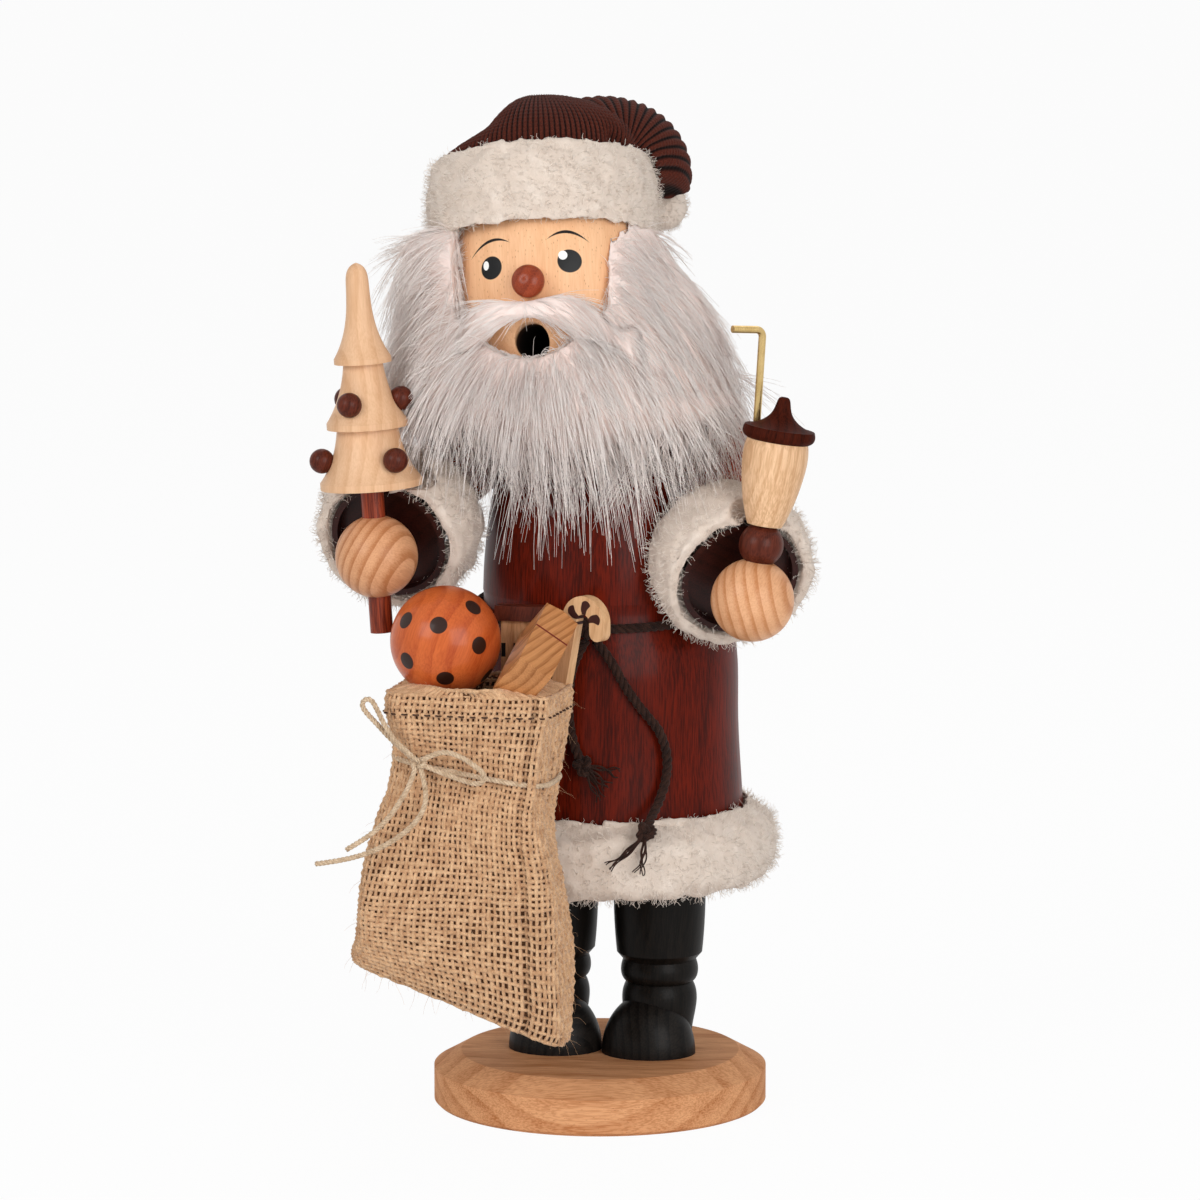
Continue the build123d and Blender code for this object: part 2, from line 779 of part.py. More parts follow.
def tree_room(hand_centre):
    """Room that the plush leaves for the tree, its beads and its trunk."""
    axis = facing(hand_centre, tree_lean)
    start = moved(axis, 0, 0, -trunk_below)
    rod_shape(start, trunk_radius + rest_gap, trunk_below + tree_height, mode=Mode.SUBTRACT)
    bead_ring = tree_radius * max(across for up, across, start_angle in tree_bead_shares)
    foot = moved(axis, 0, 0, trunk_above - rest_gap)
    rod_shape(foot, bead_ring + tree_bead_radius + rest_gap, tree_height, mode=Mode.SUBTRACT)


def lantern_grip(hand_centre):
    """Seat in the hand for the lantern's bead."""
    axis = facing(hand_centre, lantern_lean)
    with Locations(axis.from_local_coords((0, 0, lantern_bead_rise))):
        Sphere(lantern_bead_radius + glue_gap, mode=Mode.SUBTRACT)


def lantern_room(hand_centre):
    """Room that the plush leaves for the lantern and its bead."""
    axis = facing(hand_centre, lantern_lean)
    with Locations(axis.from_local_coords((0, 0, lantern_bead_rise))):
        Sphere(lantern_bead_radius + rest_gap, mode=Mode.SUBTRACT)
    start = moved(axis, 0, 0, lantern_start - rest_gap)
    rod_shape(start, lantern_radius + rest_gap, lantern_height, mode=Mode.SUBTRACT)


right_dowel_plane, left_dowel_plane = shoulder_dowel_planes
arm(
    "right",
    right_shoulder,
    right_elbow,
    right_reach,
    right_hand_reach,
    right_dowel_plane,
    tree_grip,
    tree_room,
)
arm(
    "left",
    left_shoulder,
    left_elbow,
    left_reach,
    left_hand_reach,
    left_dowel_plane,
    lantern_grip,
    lantern_room,
)

with BuildPart() as shoulder_dowels:
    for plane in shoulder_dowel_planes:
        rod_shape(plane, dowel_radius, shoulder_dowel_length)
keep("shoulder_dowels", shoulder_dowels)

# The wrists' dowels stop short of the hands' middles
with BuildPart() as wrist_dowels:
    for word in ("right", "left"):
        rod_shape(body_parts[word][2], dowel_radius, body_parts[word][4])
keep("wrist_dowels", wrist_dowels)

# Tree, trunk and beads
right_hand = body_parts["right"][3]
tree_axis = facing(right_hand, tree_lean)
tree_foot = at_height(tree_axis, trunk_above)
with BuildPart() as tree_trunk:
    length = trunk_below + trunk_above + trunk_seat
    rod_shape(at_height(tree_axis, -trunk_below), trunk_radius, length)
keep("tree_trunk", tree_trunk)

with BuildPart() as tree_beads:
    for up, across, start_angle in tree_bead_shares:
        with Locations(at_height(tree_foot, up * tree_height)):
            with PolarLocations(across * tree_radius, beads_each, start_angle=start_angle):
                Sphere(tree_bead_radius)
keep("tree_beads", tree_beads)

with BuildPart() as tree:
    turn(
        tree_foot,
        (0, 0),
        (tree_radius, 0),
        stretched(tree_low_shares, tree_radius, tree_height),
        (tree_radius * tree_middle_shares[0][0], tree_height * tree_low_shares[-1][1]),
        stretched(tree_middle_shares, tree_radius, tree_height),
        (tree_radius * tree_top_shares[0][0], tree_height * tree_middle_shares[-1][1]),
        stretched(tree_top_shares, tree_radius, tree_height),
    )
    seat = trunk_seat + glue_gap
    rod_shape(tree_foot, trunk_radius + glue_gap, seat, mode=Mode.SUBTRACT)
    for up, across, start_angle in tree_bead_shares:
        with Locations(at_height(tree_foot, up * tree_height)):
            with PolarLocations(across * tree_radius, beads_each, start_angle=start_angle):
                Sphere(tree_bead_radius + glue_gap, mode=Mode.SUBTRACT)
keep("tree", tree)

# Lantern
left_hand = body_parts["left"][3]
lantern_axis = facing(left_hand, lantern_lean)
with BuildPart() as lantern_bead:
    with Locations(lantern_axis.from_local_coords((0, 0, lantern_bead_rise))):
        Sphere(lantern_bead_radius)
keep("lantern_bead", lantern_bead)

with BuildPart() as lantern_body:
    turn(
        at_height(lantern_axis, lantern_start),
        (0, 0),
        stretched(lantern_shares, lantern_radius, lantern_height),
        (0, lantern_height),
    )
    with Locations(lantern_axis.from_local_coords((0, 0, lantern_bead_rise))):
        Sphere(lantern_bead_radius + glue_gap, mode=Mode.SUBTRACT)
keep("lantern_body", lantern_body)

cap_foot = at_height(lantern_axis, lantern_start + lantern_height)
rod_start = Vector(*rod_foot) - (Vector(*rod_top) - Vector(*rod_foot)).normalized() * rod_seat
with BuildPart() as lantern_cap:
    turn(
        cap_foot,
        (0, 0),
        stretched(cap_brim_shares, cap_radius, cap_height),
        stretched(cap_cone_shares, cap_radius, cap_height),
    )
    hole = facing(rod_start, Vector(*rod_top) - Vector(*rod_foot))
    rod_shape(at_height(hole, -glue_gap), rod_radius + glue_gap, cap_height, mode=Mode.SUBTRACT)
keep("lantern_cap", lantern_cap)

with BuildPart() as lantern_rod:
    with BuildLine() as rod_route:
        FilletPolyline(rod_start, rod_top, rod_tip, radius=rod_bend)
    with BuildSketch(facing(rod_start, Vector(*rod_top) - rod_start)):
        Circle(rod_radius)
    sweep(path=rod_route.wires()[0])
keep("lantern_rod", lantern_rod)

# Hat: plush band, knitted crown that falls over to the left and back, pompom
with BuildPart() as hat_band:
    band_height = hat_band_below + hat_band_above
    turn(
        at_height(hat_plane, -hat_band_below),
        (hat_band_inner, 0),
        stretched(hat_band_shares, hat_band_radius, band_height),
        (hat_band_inner, band_height),
    )
    add(head_shape.part, mode=Mode.SUBTRACT)
keep("hat_band", hat_band)

with BuildPart() as pompom:
    with Locations(pompom_centre):
        Sphere(pompom_radius)
keep("pompom", pompom)

with BuildPart() as hat_fall:
    for place, direction, half_width, half_height in hat_fall_shares:
        centre = Vector(*hat_centre) + Vector(*place) * hat_band_radius
        across = Vector(0, 0, 1).cross(Vector(*direction))
        with BuildSketch(facing(centre, direction, across)):
            oval(half_width * hat_band_radius, half_height * hat_band_radius)
    loft()

with BuildPart() as hat_crown:
    dome_radius = hat_band_inner - rest_gap
    turn(
        hat_plane,
        (0, hat_start),
        (dome_radius, hat_start),
        stretched(hat_dome_shares, dome_radius, hat_crown_rise - hat_band_above, hat_band_above),
    )
    add(hat_fall.part)
    add(head_shape.part, mode=Mode.SUBTRACT)
    add(hat_band.part, mode=Mode.SUBTRACT)
    with Locations(pompom_centre):
        Sphere(pompom_radius + glue_gap, mode=Mode.SUBTRACT)
keep("hat_crown", hat_crown)

# Moustache
with BuildPart() as moustache:
    right_half = [(-side, *rest) for side, *rest in reversed(moustache_shares[1:])]
    for shares in right_half + moustache_shares:
        side, back, up, half_depth, half_height = [share * head_radius for share in shares]
        centre = head_plane.from_local_coords((side, back, up))
        with BuildSketch(facing(centre, head_across, head_plane.y_dir)):
            oval(half_depth, half_height)
    loft()
    add(head_shape.part, mode=Mode.SUBTRACT)
    add(nose_peg.part, mode=Mode.SUBTRACT)
keep("moustache", moustache)

# Beard and back hair are cut from one mane round the head
with BuildPart() as mane:
    for shares in mane_shares:
        up, side, back, half_width, half_depth = [share * head_radius for share in shares]
        with BuildSketch(Plane((head_x + side, head_y + back, head_z + up))):
            oval(half_width, half_depth)
    loft()
    hat_zone = at_height(hat_plane, -hat_band_below - rest_gap)
    rod_shape(hat_zone, 2 * hat_band_radius, 2 * hat_band_radius, mode=Mode.SUBTRACT)
    add(head_shape.part, mode=Mode.SUBTRACT)
    add(torso_shape.part, mode=Mode.SUBTRACT)
    rod_shape(neck_plane, neck_radius + glue_gap, neck_reach, mode=Mode.SUBTRACT)
    add(moustache.part, mode=Mode.SUBTRACT)
    with BuildSketch(facing(head_plane.origin, head_front, head_across)):
        with BuildLine():
            cheek = (face_half_width, -face_cheek)
            jaw = (chin_half_width, -mouth_drop)
            Polyline((0, face_top), (face_half_width, face_top), cheek, jaw)
            ThreePointArc(jaw, (0, -chin_drop), (-jaw[0], jaw[1]))
            Polyline((-jaw[0], jaw[1]), (-cheek[0], cheek[1]), (-face_half_width, face_top), (0, face_top))
        make_face()
    extrude(amount=2 * head_radius, mode=Mode.SUBTRACT)
    for word in ("right", "left"):
        add(body_parts[word][0].part, mode=Mode.SUBTRACT)
        add(body_parts[word][1].part, mode=Mode.SUBTRACT)
        add(pieces["sleeve_" + word].part, mode=Mode.SUBTRACT)

with BuildPart() as beard:
    add(mane.part)
    split(bisect_by=Plane.XZ.offset(-hair_parting_y + glue_gap), keep=Keep.TOP)
keep("beard", beard)

with BuildPart() as hair:
    add(mane.part)
    split(bisect_by=Plane.XZ.offset(-hair_parting_y), keep=Keep.BOTTOM)
    split(bisect_by=Plane.XY.offset(hair_hem_z), keep=Keep.TOP)
keep("hair", hair)


def sack_station(index):
    """Height, left, right, front, back and slope of the sack at one of its places."""
    up, left, right, front, back, slope = sack_shares[index]
    middle, middle_back, foot = sack_foot
    sides = (middle + left * sack_width, middle + right * sack_width)
    depths = (middle_back + front * sack_depth, middle_back + back * sack_depth)
    return (foot + up * sack_height, *sides, *depths, slope)


def sack_section(station, inset=0.0):
    """Rounded oblong across the sack at one height."""
    height, left, right, front, back, slope = station
    centre = ((left + right) / 2, (front + back) / 2, height)
    plane = Plane(centre).rotated((0, slope, 0))
    width = (right - left) / math.cos(math.radians(slope)) - 2 * inset
    with BuildSketch(plane) as section:
        RectangleRounded(width, back - front - 2 * inset, sack_corner - inset)
    return section.sketch


sack_rim = sack_station(0)
filling_top = sack_rim[0] - filling_sink

# Toys
block_plane = Plane(block_corner, x_dir=block_across, z_dir=Vector(*block_across).cross(Vector(*block_along)))
with BuildPart() as toy_block:
    with BuildSketch(block_plane):
        with BuildLine():
            gable = block_length + block_gable
            Polyline(
                (0, 0),
                (block_width, 0),
                (block_width, block_length),
                (block_width / 2, gable),
                (0, block_length),
                close=True,
            )
        make_face()
    extrude(amount=-block_depth)
keep("toy_block", toy_block)

with BuildPart() as toy_ball:
    with Locations(toy_ball_centre):
        Sphere(toy_ball_radius)
keep("toy_ball", toy_ball)

house_width = house_right - house_left
house_height = house_wall_top - filling_top
with BuildPart() as toy_house:
    with Locations((house_left, house_front, filling_top)):
        Box(house_width, house_depth, house_height, align=Align.MIN)
keep("toy_house", toy_house)

with BuildPart() as toy_house_roof:
    roof_back = house_front + (house_depth - roof_depth) / 2
    with Locations((house_left - roof_overhang, roof_back, house_wall_top)):
        width = house_width + roof_overhang
        Box(width, roof_depth, roof_thickness, align=Align.MIN)
    with Locations(toy_ball_centre):
        Sphere(toy_ball_radius + rest_gap, mode=Mode.SUBTRACT)
    add(toy_block.part, mode=Mode.SUBTRACT)
keep("toy_house_roof", toy_house_roof)

with BuildPart() as candy_cane:
    with BuildSketch(Plane(cane_centre, x_dir=cane_across, z_dir=cane_facing)):
        with BuildLine():
            Line((-cane_bend_radius - cane_stem_shift, -cane_stem), (-cane_bend_radius, 0))
            ThreePointArc((-cane_bend_radius, 0), (0, cane_bend_radius), (cane_bend_radius, 0))
            Line((cane_bend_radius, 0), (cane_bend_radius, -cane_width / 2))
        trace(line_width=cane_width)
        with Locations((cane_bend_radius, -cane_width / 2)):
            Circle(cane_width / 2)
    extrude(amount=cane_thickness / 2, both=True)
keep("candy_cane", candy_cane)

# Sack, its filling and its tie
with BuildPart() as sack:
    loft([sack_section(sack_station(index)) for index in range(len(sack_shares))])
    extrude(sack_section(sack_rim, sack_wall), amount=-sack_mouth_depth, mode=Mode.SUBTRACT)
    for toy in (candy_cane, toy_block):
        add(toy.part, mode=Mode.SUBTRACT)
keep("sack", sack)

with BuildPart() as sack_filling:
    filling_bottom = sack_rim[0] - sack_mouth_depth
    floor = sack_section((filling_bottom,) + sack_rim[1:], sack_wall + glue_gap)
    extrude(floor, amount=filling_top - filling_bottom)
    for toy in (candy_cane, toy_block, toy_ball):
        add(toy.part, mode=Mode.SUBTRACT)
keep("sack_filling", sack_filling)

neck_height, neck_left, neck_right, neck_front, neck_back, neck_slope = sack_station(tie_place)
with BuildPart() as sack_tie:
    tie_centre = ((neck_left + neck_right) / 2, (neck_front + neck_back) / 2, neck_height)
    tie_plane = Plane(tie_centre).rotated((0, neck_slope, 0))
    tie_out = tie_radius + rest_gap
    tie_half = (neck_right - neck_left) / math.cos(math.radians(neck_slope)) / 2
    tie_deep = (neck_back - neck_front) / 2
    with BuildSketch(tie_plane) as tie_loop:
        RectangleRounded(2 * (tie_half + tie_out), 2 * (tie_deep + tie_out), sack_corner + tie_out)
    start = tie_plane.from_local_coords((0, -tie_deep - tie_out, 0))
    with BuildSketch(facing(start, tie_plane.x_dir, tie_plane.y_dir)) as tie_section:
        Circle(tie_radius)
    sweep(sections=tie_section.sketch, path=tie_loop.sketch.faces()[0].outer_wire())
keep("sack_tie", sack_tie)


def knot(name, centre, size, stretch):
    """Tied knot as a rounded lump."""
    lump = scale(Sphere(1, mode=Mode.PRIVATE), by=tuple(size * s for s in stretch), mode=Mode.PRIVATE)
    with BuildPart() as piece:
        add(Pos(*centre) * lump)
    keep(name, piece)
    return piece


# Belt round the waist, tilted up at the back
waist = Plane((body_x, body_y, joint_height - belt_below_joint)).rotated((belt_rise, 0, 0))
belt_path_radius = waist_radius + belt_radius + rest_gap
belt_gap_angle = math.degrees(belt_knot_size * belt_knot_shares[0] / belt_path_radius)
belt_start = waist.rotated((0, 0, belt_knot_angle + belt_gap_angle))
with BuildPart() as belt_cord:
    with BuildSketch(Plane(waist.origin, x_dir=belt_start.x_dir, z_dir=-belt_start.y_dir)):
        with Locations((belt_path_radius, 0)):
            Circle(belt_radius)
    revolve(axis=Axis(waist.origin, waist.z_dir), revolution_arc=360 - 2 * belt_gap_angle)
keep("belt_cord", belt_cord)

belt_knot_plane = waist.rotated((0, 0, belt_knot_angle))
belt_knot_centre = belt_knot_plane.from_local_coords((belt_path_radius + belt_radius, 0, -belt_radius))
belt_knot = knot("belt_knot", belt_knot_centre, belt_knot_size, belt_knot_shares)
tail_knot_long = knot("tail_knot_long", tail_knot_long_centre, tail_knot_size, tail_knot_shares)
tail_knot_short = knot("tail_knot_short", tail_knot_short_centre, tail_knot_size, tail_knot_shares)
cord("belt_tail_long", [tail_long_points], belt_radius, belt_knot, tail_knot_long)
cord("belt_tail_short", [tail_short_points], belt_radius, belt_knot, tail_knot_short)
cord("tail_ends_long", tail_long_ends, strand_radius, tail_knot_long)
cord("tail_ends_short", tail_short_ends, strand_radius, tail_knot_short)

# String bow on the sack's front
bow_knot = knot("bow_knot", bow_knot_centre, bow_knot_size, bow_knot_shares)
cord("bow_loop_left", [bow_loop_left_points], bow_radius, bow_knot)
cord("bow_loop_right", [bow_loop_right_points], bow_radius, bow_knot)
cord("bow_tail_short", [bow_tail_short_points], bow_radius, bow_knot)
cord("bow_tail_long", [bow_tail_long_points], bow_radius, bow_knot)

for name, piece in pieces.items():
    piece.part.label = name
    export_step(piece.part, f"parts/{name}.step")
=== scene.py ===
# %% [markdown]
# # Dressing an incense smoker
#
# The figure comes in as bare solids. This lesson gives the turned wood its grain and stain, and remakes the
# soft things, which are the beard, plush, knitted cap, sack and cords, as what they are.
# Everything keeps the solids' frame: metres, +Z up, the figure facing -Y.

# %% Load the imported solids
import math

import bmesh
import bpy
import numpy as np
from mathutils import Matrix, Vector
from mathutils.bvhtree import BVHTree


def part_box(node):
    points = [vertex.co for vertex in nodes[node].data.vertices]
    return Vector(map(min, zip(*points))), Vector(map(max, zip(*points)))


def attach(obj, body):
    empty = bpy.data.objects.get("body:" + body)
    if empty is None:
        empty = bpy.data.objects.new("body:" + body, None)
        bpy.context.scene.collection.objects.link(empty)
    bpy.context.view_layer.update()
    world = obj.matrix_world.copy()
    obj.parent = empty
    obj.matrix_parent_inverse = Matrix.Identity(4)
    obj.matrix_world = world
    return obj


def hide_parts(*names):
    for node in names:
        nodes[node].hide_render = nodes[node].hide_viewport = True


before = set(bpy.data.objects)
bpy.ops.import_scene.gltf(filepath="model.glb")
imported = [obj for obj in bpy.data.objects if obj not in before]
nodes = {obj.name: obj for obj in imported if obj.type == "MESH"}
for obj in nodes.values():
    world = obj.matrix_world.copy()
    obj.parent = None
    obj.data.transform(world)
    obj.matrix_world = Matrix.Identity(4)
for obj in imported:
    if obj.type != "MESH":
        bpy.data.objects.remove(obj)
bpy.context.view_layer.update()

mm = 0.001
scene = bpy.context.scene

# %% [markdown]
# The camera stands where the photograph was taken: a little to the figure's left, above its head, with a
# long lens. It is set first, because everything soft is judged through it.

# %% Camera
view_turn = math.radians(13.0)
look_down = math.radians(8.12)
stand_off = 1.8
eye_height = 0.424
film_width = 36
focal_length = 166.26

camera = bpy.data.objects.new("camera", bpy.data.cameras.new("camera"))
scene.collection.objects.link(camera)
camera.location = (stand_off * math.sin(view_turn), -stand_off * math.cos(view_turn), eye_height)
camera.rotation_euler = (math.pi / 2 - look_down, 0, view_turn)
camera.data.sensor_width = film_width
camera.data.lens = focal_length
scene.camera = camera
scene.view_settings.view_transform = "Standard"
print("camera at", [round(v, 3) for v in camera.location])


# %% [markdown]
# Materials and geometry are both trees of nodes. A few helpers keep them readable: one adds a node and
# fills its inputs, the others wrap the nodes that are needed most.

# %% Node helpers
def put(tree, kind, inputs=None, **settings):
    """Adds a node, sets its properties and fills its inputs with values or links."""
    made = tree.nodes.new(kind)
    for name, value in settings.items():
        setattr(made, name, value)
    for name, value in (inputs or {}).items():
        if isinstance(value, bpy.types.NodeSocket):
            tree.links.new(value, made.inputs[name])
        else:
            made.inputs[name].default_value = value
    return made


def maths(tree, operation, *values):
    """One number from others."""
    return put(tree, "ShaderNodeMath", dict(enumerate(values)), operation=operation).outputs[0]


def vectors(tree, operation, *values, out=0):
    """One vector from others; a lone number goes to the scale."""
    return put(tree, "ShaderNodeVectorMath", dict(enumerate(values)), operation=operation).outputs[out]


def scaled(tree, vector, factor):
    """A vector times a number."""
    return put(tree, "ShaderNodeVectorMath", {0: vector, "Scale": factor}, operation="SCALE").outputs[0]


def rise(tree, value, low, high, start=0.0, end=1.0):
    """Smooth step from start to end while a value goes from low to high."""
    inputs = {0: value, 1: low, 2: high, 3: start, 4: end}
    return put(tree, "ShaderNodeMapRange", inputs, interpolation_type="SMOOTHSTEP").outputs[0]


def mixed(tree, mask, one, other):
    """One colour where the mask is 0, the other where it is 1."""
    return put(tree, "ShaderNodeMix", {0: mask, 6: one, 7: other}, data_type="RGBA").outputs[2]


def noise(tree, vector, scale, detail=2.0, out="Fac"):
    """Soft noise on a vector."""
    inputs = {"Vector": vector, "Scale": scale, "Detail": detail}
    return put(tree, "ShaderNodeTexNoise", inputs).outputs[out]


def colour(red, green, blue):
    """A colour read off a picture, 0 to 255, as Blender's linear values."""
    parts = [part / 255 for part in (red, green, blue)]
    return (*[p / 12.92 if p <= 0.04045 else ((p + 0.055) / 1.055) ** 2.4 for p in parts], 1.0)


def group(name, kind, inputs, outputs):
    """A node group with named sockets; gives the tree, its inputs and its outputs."""
    tree = bpy.data.node_groups.new(name, kind)
    for word, socket, value in inputs:
        made = tree.interface.new_socket(name=word, in_out="INPUT", socket_type=socket)
        if value is not None:
            made.default_value = value
    for word, socket in outputs:
        tree.interface.new_socket(name=word, in_out="OUTPUT", socket_type=socket)
    return tree, tree.nodes.new("NodeGroupInput").outputs, tree.nodes.new("NodeGroupOutput").inputs


print("helpers ready")

# %% [markdown]
# The smoker stands on a white table. To the camera, floor and background are white, and a twentieth of the
# floor is plain paint that takes the figure's soft shadow. Lacquer and brass see the same white. The light
# that falls on the figure comes from three lamps and a dimmer sky, so that the round forms show.

# %% Floor, background and lamps
floor_white = 0.95
sky_on_figure = 0.38
figure_middle = Vector((0, 0, 0.17))

floor_mesh = bpy.data.meshes.new("floor")
floor_mesh.from_pydata([(-6, -6, 0), (6, -6, 0), (6, 14, 0), (-6, 14, 0)], [], [(0, 1, 2, 3)])
floor = bpy.data.objects.new("floor", floor_mesh)
scene.collection.objects.link(floor)


def seen_directly(tree):
    """1 for what the camera, a gloss or a glass sees, 0 for light that falls on the object."""
    path = put(tree, "ShaderNodeLightPath").outputs
    seen = maths(tree, "MAXIMUM", path["Is Camera Ray"], path["Is Glossy Ray"])
    return maths(tree, "MAXIMUM", seen, path["Is Transmission Ray"])


floor_paint = bpy.data.materials.new("white table")
floor_paint.use_nodes = True
tree = floor_paint.node_tree
tree.nodes.clear()
paint_shader = put(tree, "ShaderNodeBsdfDiffuse", {"Color": colour(240, 240, 240)})
white_shader = put(tree, "ShaderNodeEmission", {"Color": (1, 1, 1, 1), "Strength": 1.0})
white_share = maths(tree, "MULTIPLY", seen_directly(tree), floor_white)
inputs = {0: white_share, 1: paint_shader.outputs[0], 2: white_shader.outputs[0]}
floor_mix = put(tree, "ShaderNodeMixShader", inputs)
put(tree, "ShaderNodeOutputMaterial", {"Surface": floor_mix.outputs[0]})
floor.data.materials.append(floor_paint)

world = bpy.data.worlds.new("studio")
scene.world = world
world.use_nodes = True
tree = world.node_tree
tree.nodes.clear()
sky_strength = rise(tree, seen_directly(tree), 0.0, 1.0, sky_on_figure, 1.0)
sky = put(tree, "ShaderNodeBackground", {"Color": (1, 1, 1, 1), "Strength": sky_strength})
put(tree, "ShaderNodeOutputWorld", {"Surface": sky.outputs[0]})


def softbox(name, place, size, power):
    """Square lamp that faces the figure's middle."""
    lamp = bpy.data.lights.new(name, "AREA")
    lamp.size = size
    lamp.energy = power
    stand = bpy.data.objects.new(name, lamp)
    scene.collection.objects.link(stand)
    stand.location = place
    stand.rotation_euler = (Vector(place) - figure_middle).to_track_quat("Z", "Y").to_euler()


softbox("window_left", (-0.85, -1.45, 1.0), 0.9, 12)
softbox("fill_right", (1.15, -1.3, 0.65), 1.1, 16)
softbox("top_back", (0.1, 0.9, 1.5), 0.9, 4)

# %% [markdown]
# A cord is a line before it is a shape. Each route below is a handful of points that the real cord passes;
# a NURBS spline makes one smooth line of them. Three strands are then wound round that line, as a
# rope maker does, so the twist is real geometry and catches the light.


# %% Routes and twisted strands
def drawn(points):
    """Blender's own points along the NURBS spline of a route, in metres."""
    curve = bpy.data.curves.new("route", "CURVE")
    curve.dimensions = "3D"
    curve.resolution_u = 16
    spline = curve.splines.new("NURBS")
    spline.points.add(len(points) - 1)
    for point, place in zip(spline.points, points):
        point.co = (*place, 1)
    spline.order_u = 3
    spline.use_endpoint_u = True
    holder = bpy.data.objects.new("route", curve)
    scene.collection.objects.link(holder)
    bpy.context.view_layer.update()
    mesh = bpy.data.meshes.new_from_object(holder)
    line = np.array([vertex.co[:] for vertex in mesh.vertices])
    bpy.data.objects.remove(holder)
    return line


def spaced(line, step):
    """The same line at even steps, with how far along each point is."""
    run = np.concatenate([[0], np.cumsum(np.linalg.norm(np.diff(line, axis=0), axis=1))])
    along = np.linspace(0, run[-1], max(3, int(run[-1] / step) + 1))
    return np.stack([np.interp(along, run, line[:, axis]) for axis in range(3)], axis=1), along


def sides(line, closed=False):
    """Two directions across a line at each point, carried along it without twisting."""
    before = np.roll(line, 1, axis=0) if closed else np.vstack([line[:1], line[:-1]])
    after = np.roll(line, -1, axis=0) if closed else np.vstack([line[1:], line[-1:]])
    ahead = after - before
    ahead /= np.linalg.norm(ahead, axis=1)[:, None]
    first = np.cross(ahead[0], (0.3, 0.5, 0.8))
    across = [first / np.linalg.norm(first)]
    for direction in ahead[1:]:
        side = across[-1] - direction * np.dot(across[-1], direction)
        across.append(side / np.linalg.norm(side))
    across = np.array(across)
    return across, np.cross(ahead, across)


def tube(line, radius, corners=7, closed=False):
    """Points and faces of a tube round a line; a line with two ends is closed by a face at each."""
    across, upward = sides(line, closed)
    turn = np.arange(corners) * 2 * math.pi / corners
    radius = np.broadcast_to(radius, len(line))[:, None, None]
    ring = np.cos(turn)[None, :, None] * across[:, None] + np.sin(turn)[None, :, None] * upward[:, None]
    points = (line[:, None] + radius * ring).reshape(-1, 3)
    faces = []
    rings = len(line)
    for i in range(rings if closed else rings - 1):
        here, there = i * corners, (i + 1) % rings * corners
        for j in range(corners):
            k = (j + 1) % corners
            faces.append((here + j, here + k, there + k, there + j))
    if not closed:
        faces.append(tuple(range(corners - 1, -1, -1)))
        faces.append(tuple(range((rings - 1) * corners, rings * corners)))
    return points, faces


def shaped(name, parts):
    """One smooth mesh object of several (points, faces) parts."""
    points, faces, start = [], [], 0
    for part_points, part_faces in parts:
        points.extend(map(tuple, part_points))
        faces.extend(tuple(start + i for i in face) for face in part_faces)
        start = len(points)
    mesh = bpy.data.meshes.new(name)
    mesh.from_pydata(points, [], faces)
    mesh.shade_smooth()
    made = bpy.data.objects.new(name, mesh)
    scene.collection.objects.link(made)
    return made


strand_count = 3
strand_share = 0.48


def wound(line, radius, lay, closed=False, step=0.45):
    """Strands twisted round a line: outer radius, and the length of one full turn, in metres."""
    line, along = spaced(line, step * mm)
    if closed:
        line, along = line[:-1], along[:-1]
    across, upward = sides(line, closed)
    total = along[-1] + (step * mm if closed else 0)
    turns = max(1, round(total / lay)) if closed else total / lay
    strand = radius * strand_share
    offset = radius - strand
    parts = []
    for index in range(strand_count):
        angle = 2 * math.pi * (index / strand_count + turns * along / total)
        shift = np.cos(angle)[:, None] * across + np.sin(angle)[:, None] * upward
        parts.append(tube(line + offset * shift, strand, 7, closed))
    return parts


def triangles(piece):
    """How many triangles a piece has."""
    return sum(len(face.vertices) - 2 for face in piece.data.polygons)


def dress(piece, material, body, slot, *replaced):
    """Gives a piece its material, the body it moves with and the solids it stands for."""
    piece.data.materials.clear()
    piece.data.materials.append(material)
    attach(piece, body)
    if replaced:
        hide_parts(*replaced)
    print(f"{piece.name}: {triangles(piece)} triangles, on {body}")
    return piece


def new_material(name):
    """A material with its tree and its Principled shader."""
    material = bpy.data.materials.new(name)
    material.use_nodes = True
    return material, material.node_tree, material.node_tree.nodes["Principled BSDF"]


def measure(tree, origin=(0, 0, 0), up=(0, 0, 1), across=(1, 0, 0)):
    """Object coordinates in millimetres from an origin, with Z along a piece's own axis."""
    up = Vector(up).normalized()
    across = (Vector(across) - up * up.dot(Vector(across))).normalized()
    turned = Matrix((across, up.cross(across), up)).transposed().to_euler()
    inputs = {
        "Vector": put(tree, "ShaderNodeTexCoord").outputs["Object"],
        "Location": Vector(origin) * mm,
        "Rotation": turned,
        "Scale": (mm, mm, mm),
    }
    return put(tree, "ShaderNodeMapping", inputs, vector_type="TEXTURE").outputs[0]


def own_axes(tree, *place):
    """X, Y and Z along a piece's own axes, in millimetres."""
    return put(tree, "ShaderNodeSeparateXYZ", {0: measure(tree, *place)}).outputs


def roughened(tree, shader, height, low, high, start, end):
    """Lets the roughness follow a height."""
    tree.links.new(rise(tree, height, low, high, start, end), shader.inputs["Roughness"])


def bumped(tree, shader, height, strength, depth):
    """Lets the normal follow a height; the depth is in millimetres."""
    inputs = {"Height": height, "Strength": strength, "Distance": depth * mm}
    tree.links.new(put(tree, "ShaderNodeBump", inputs).outputs[0], shader.inputs["Normal"])


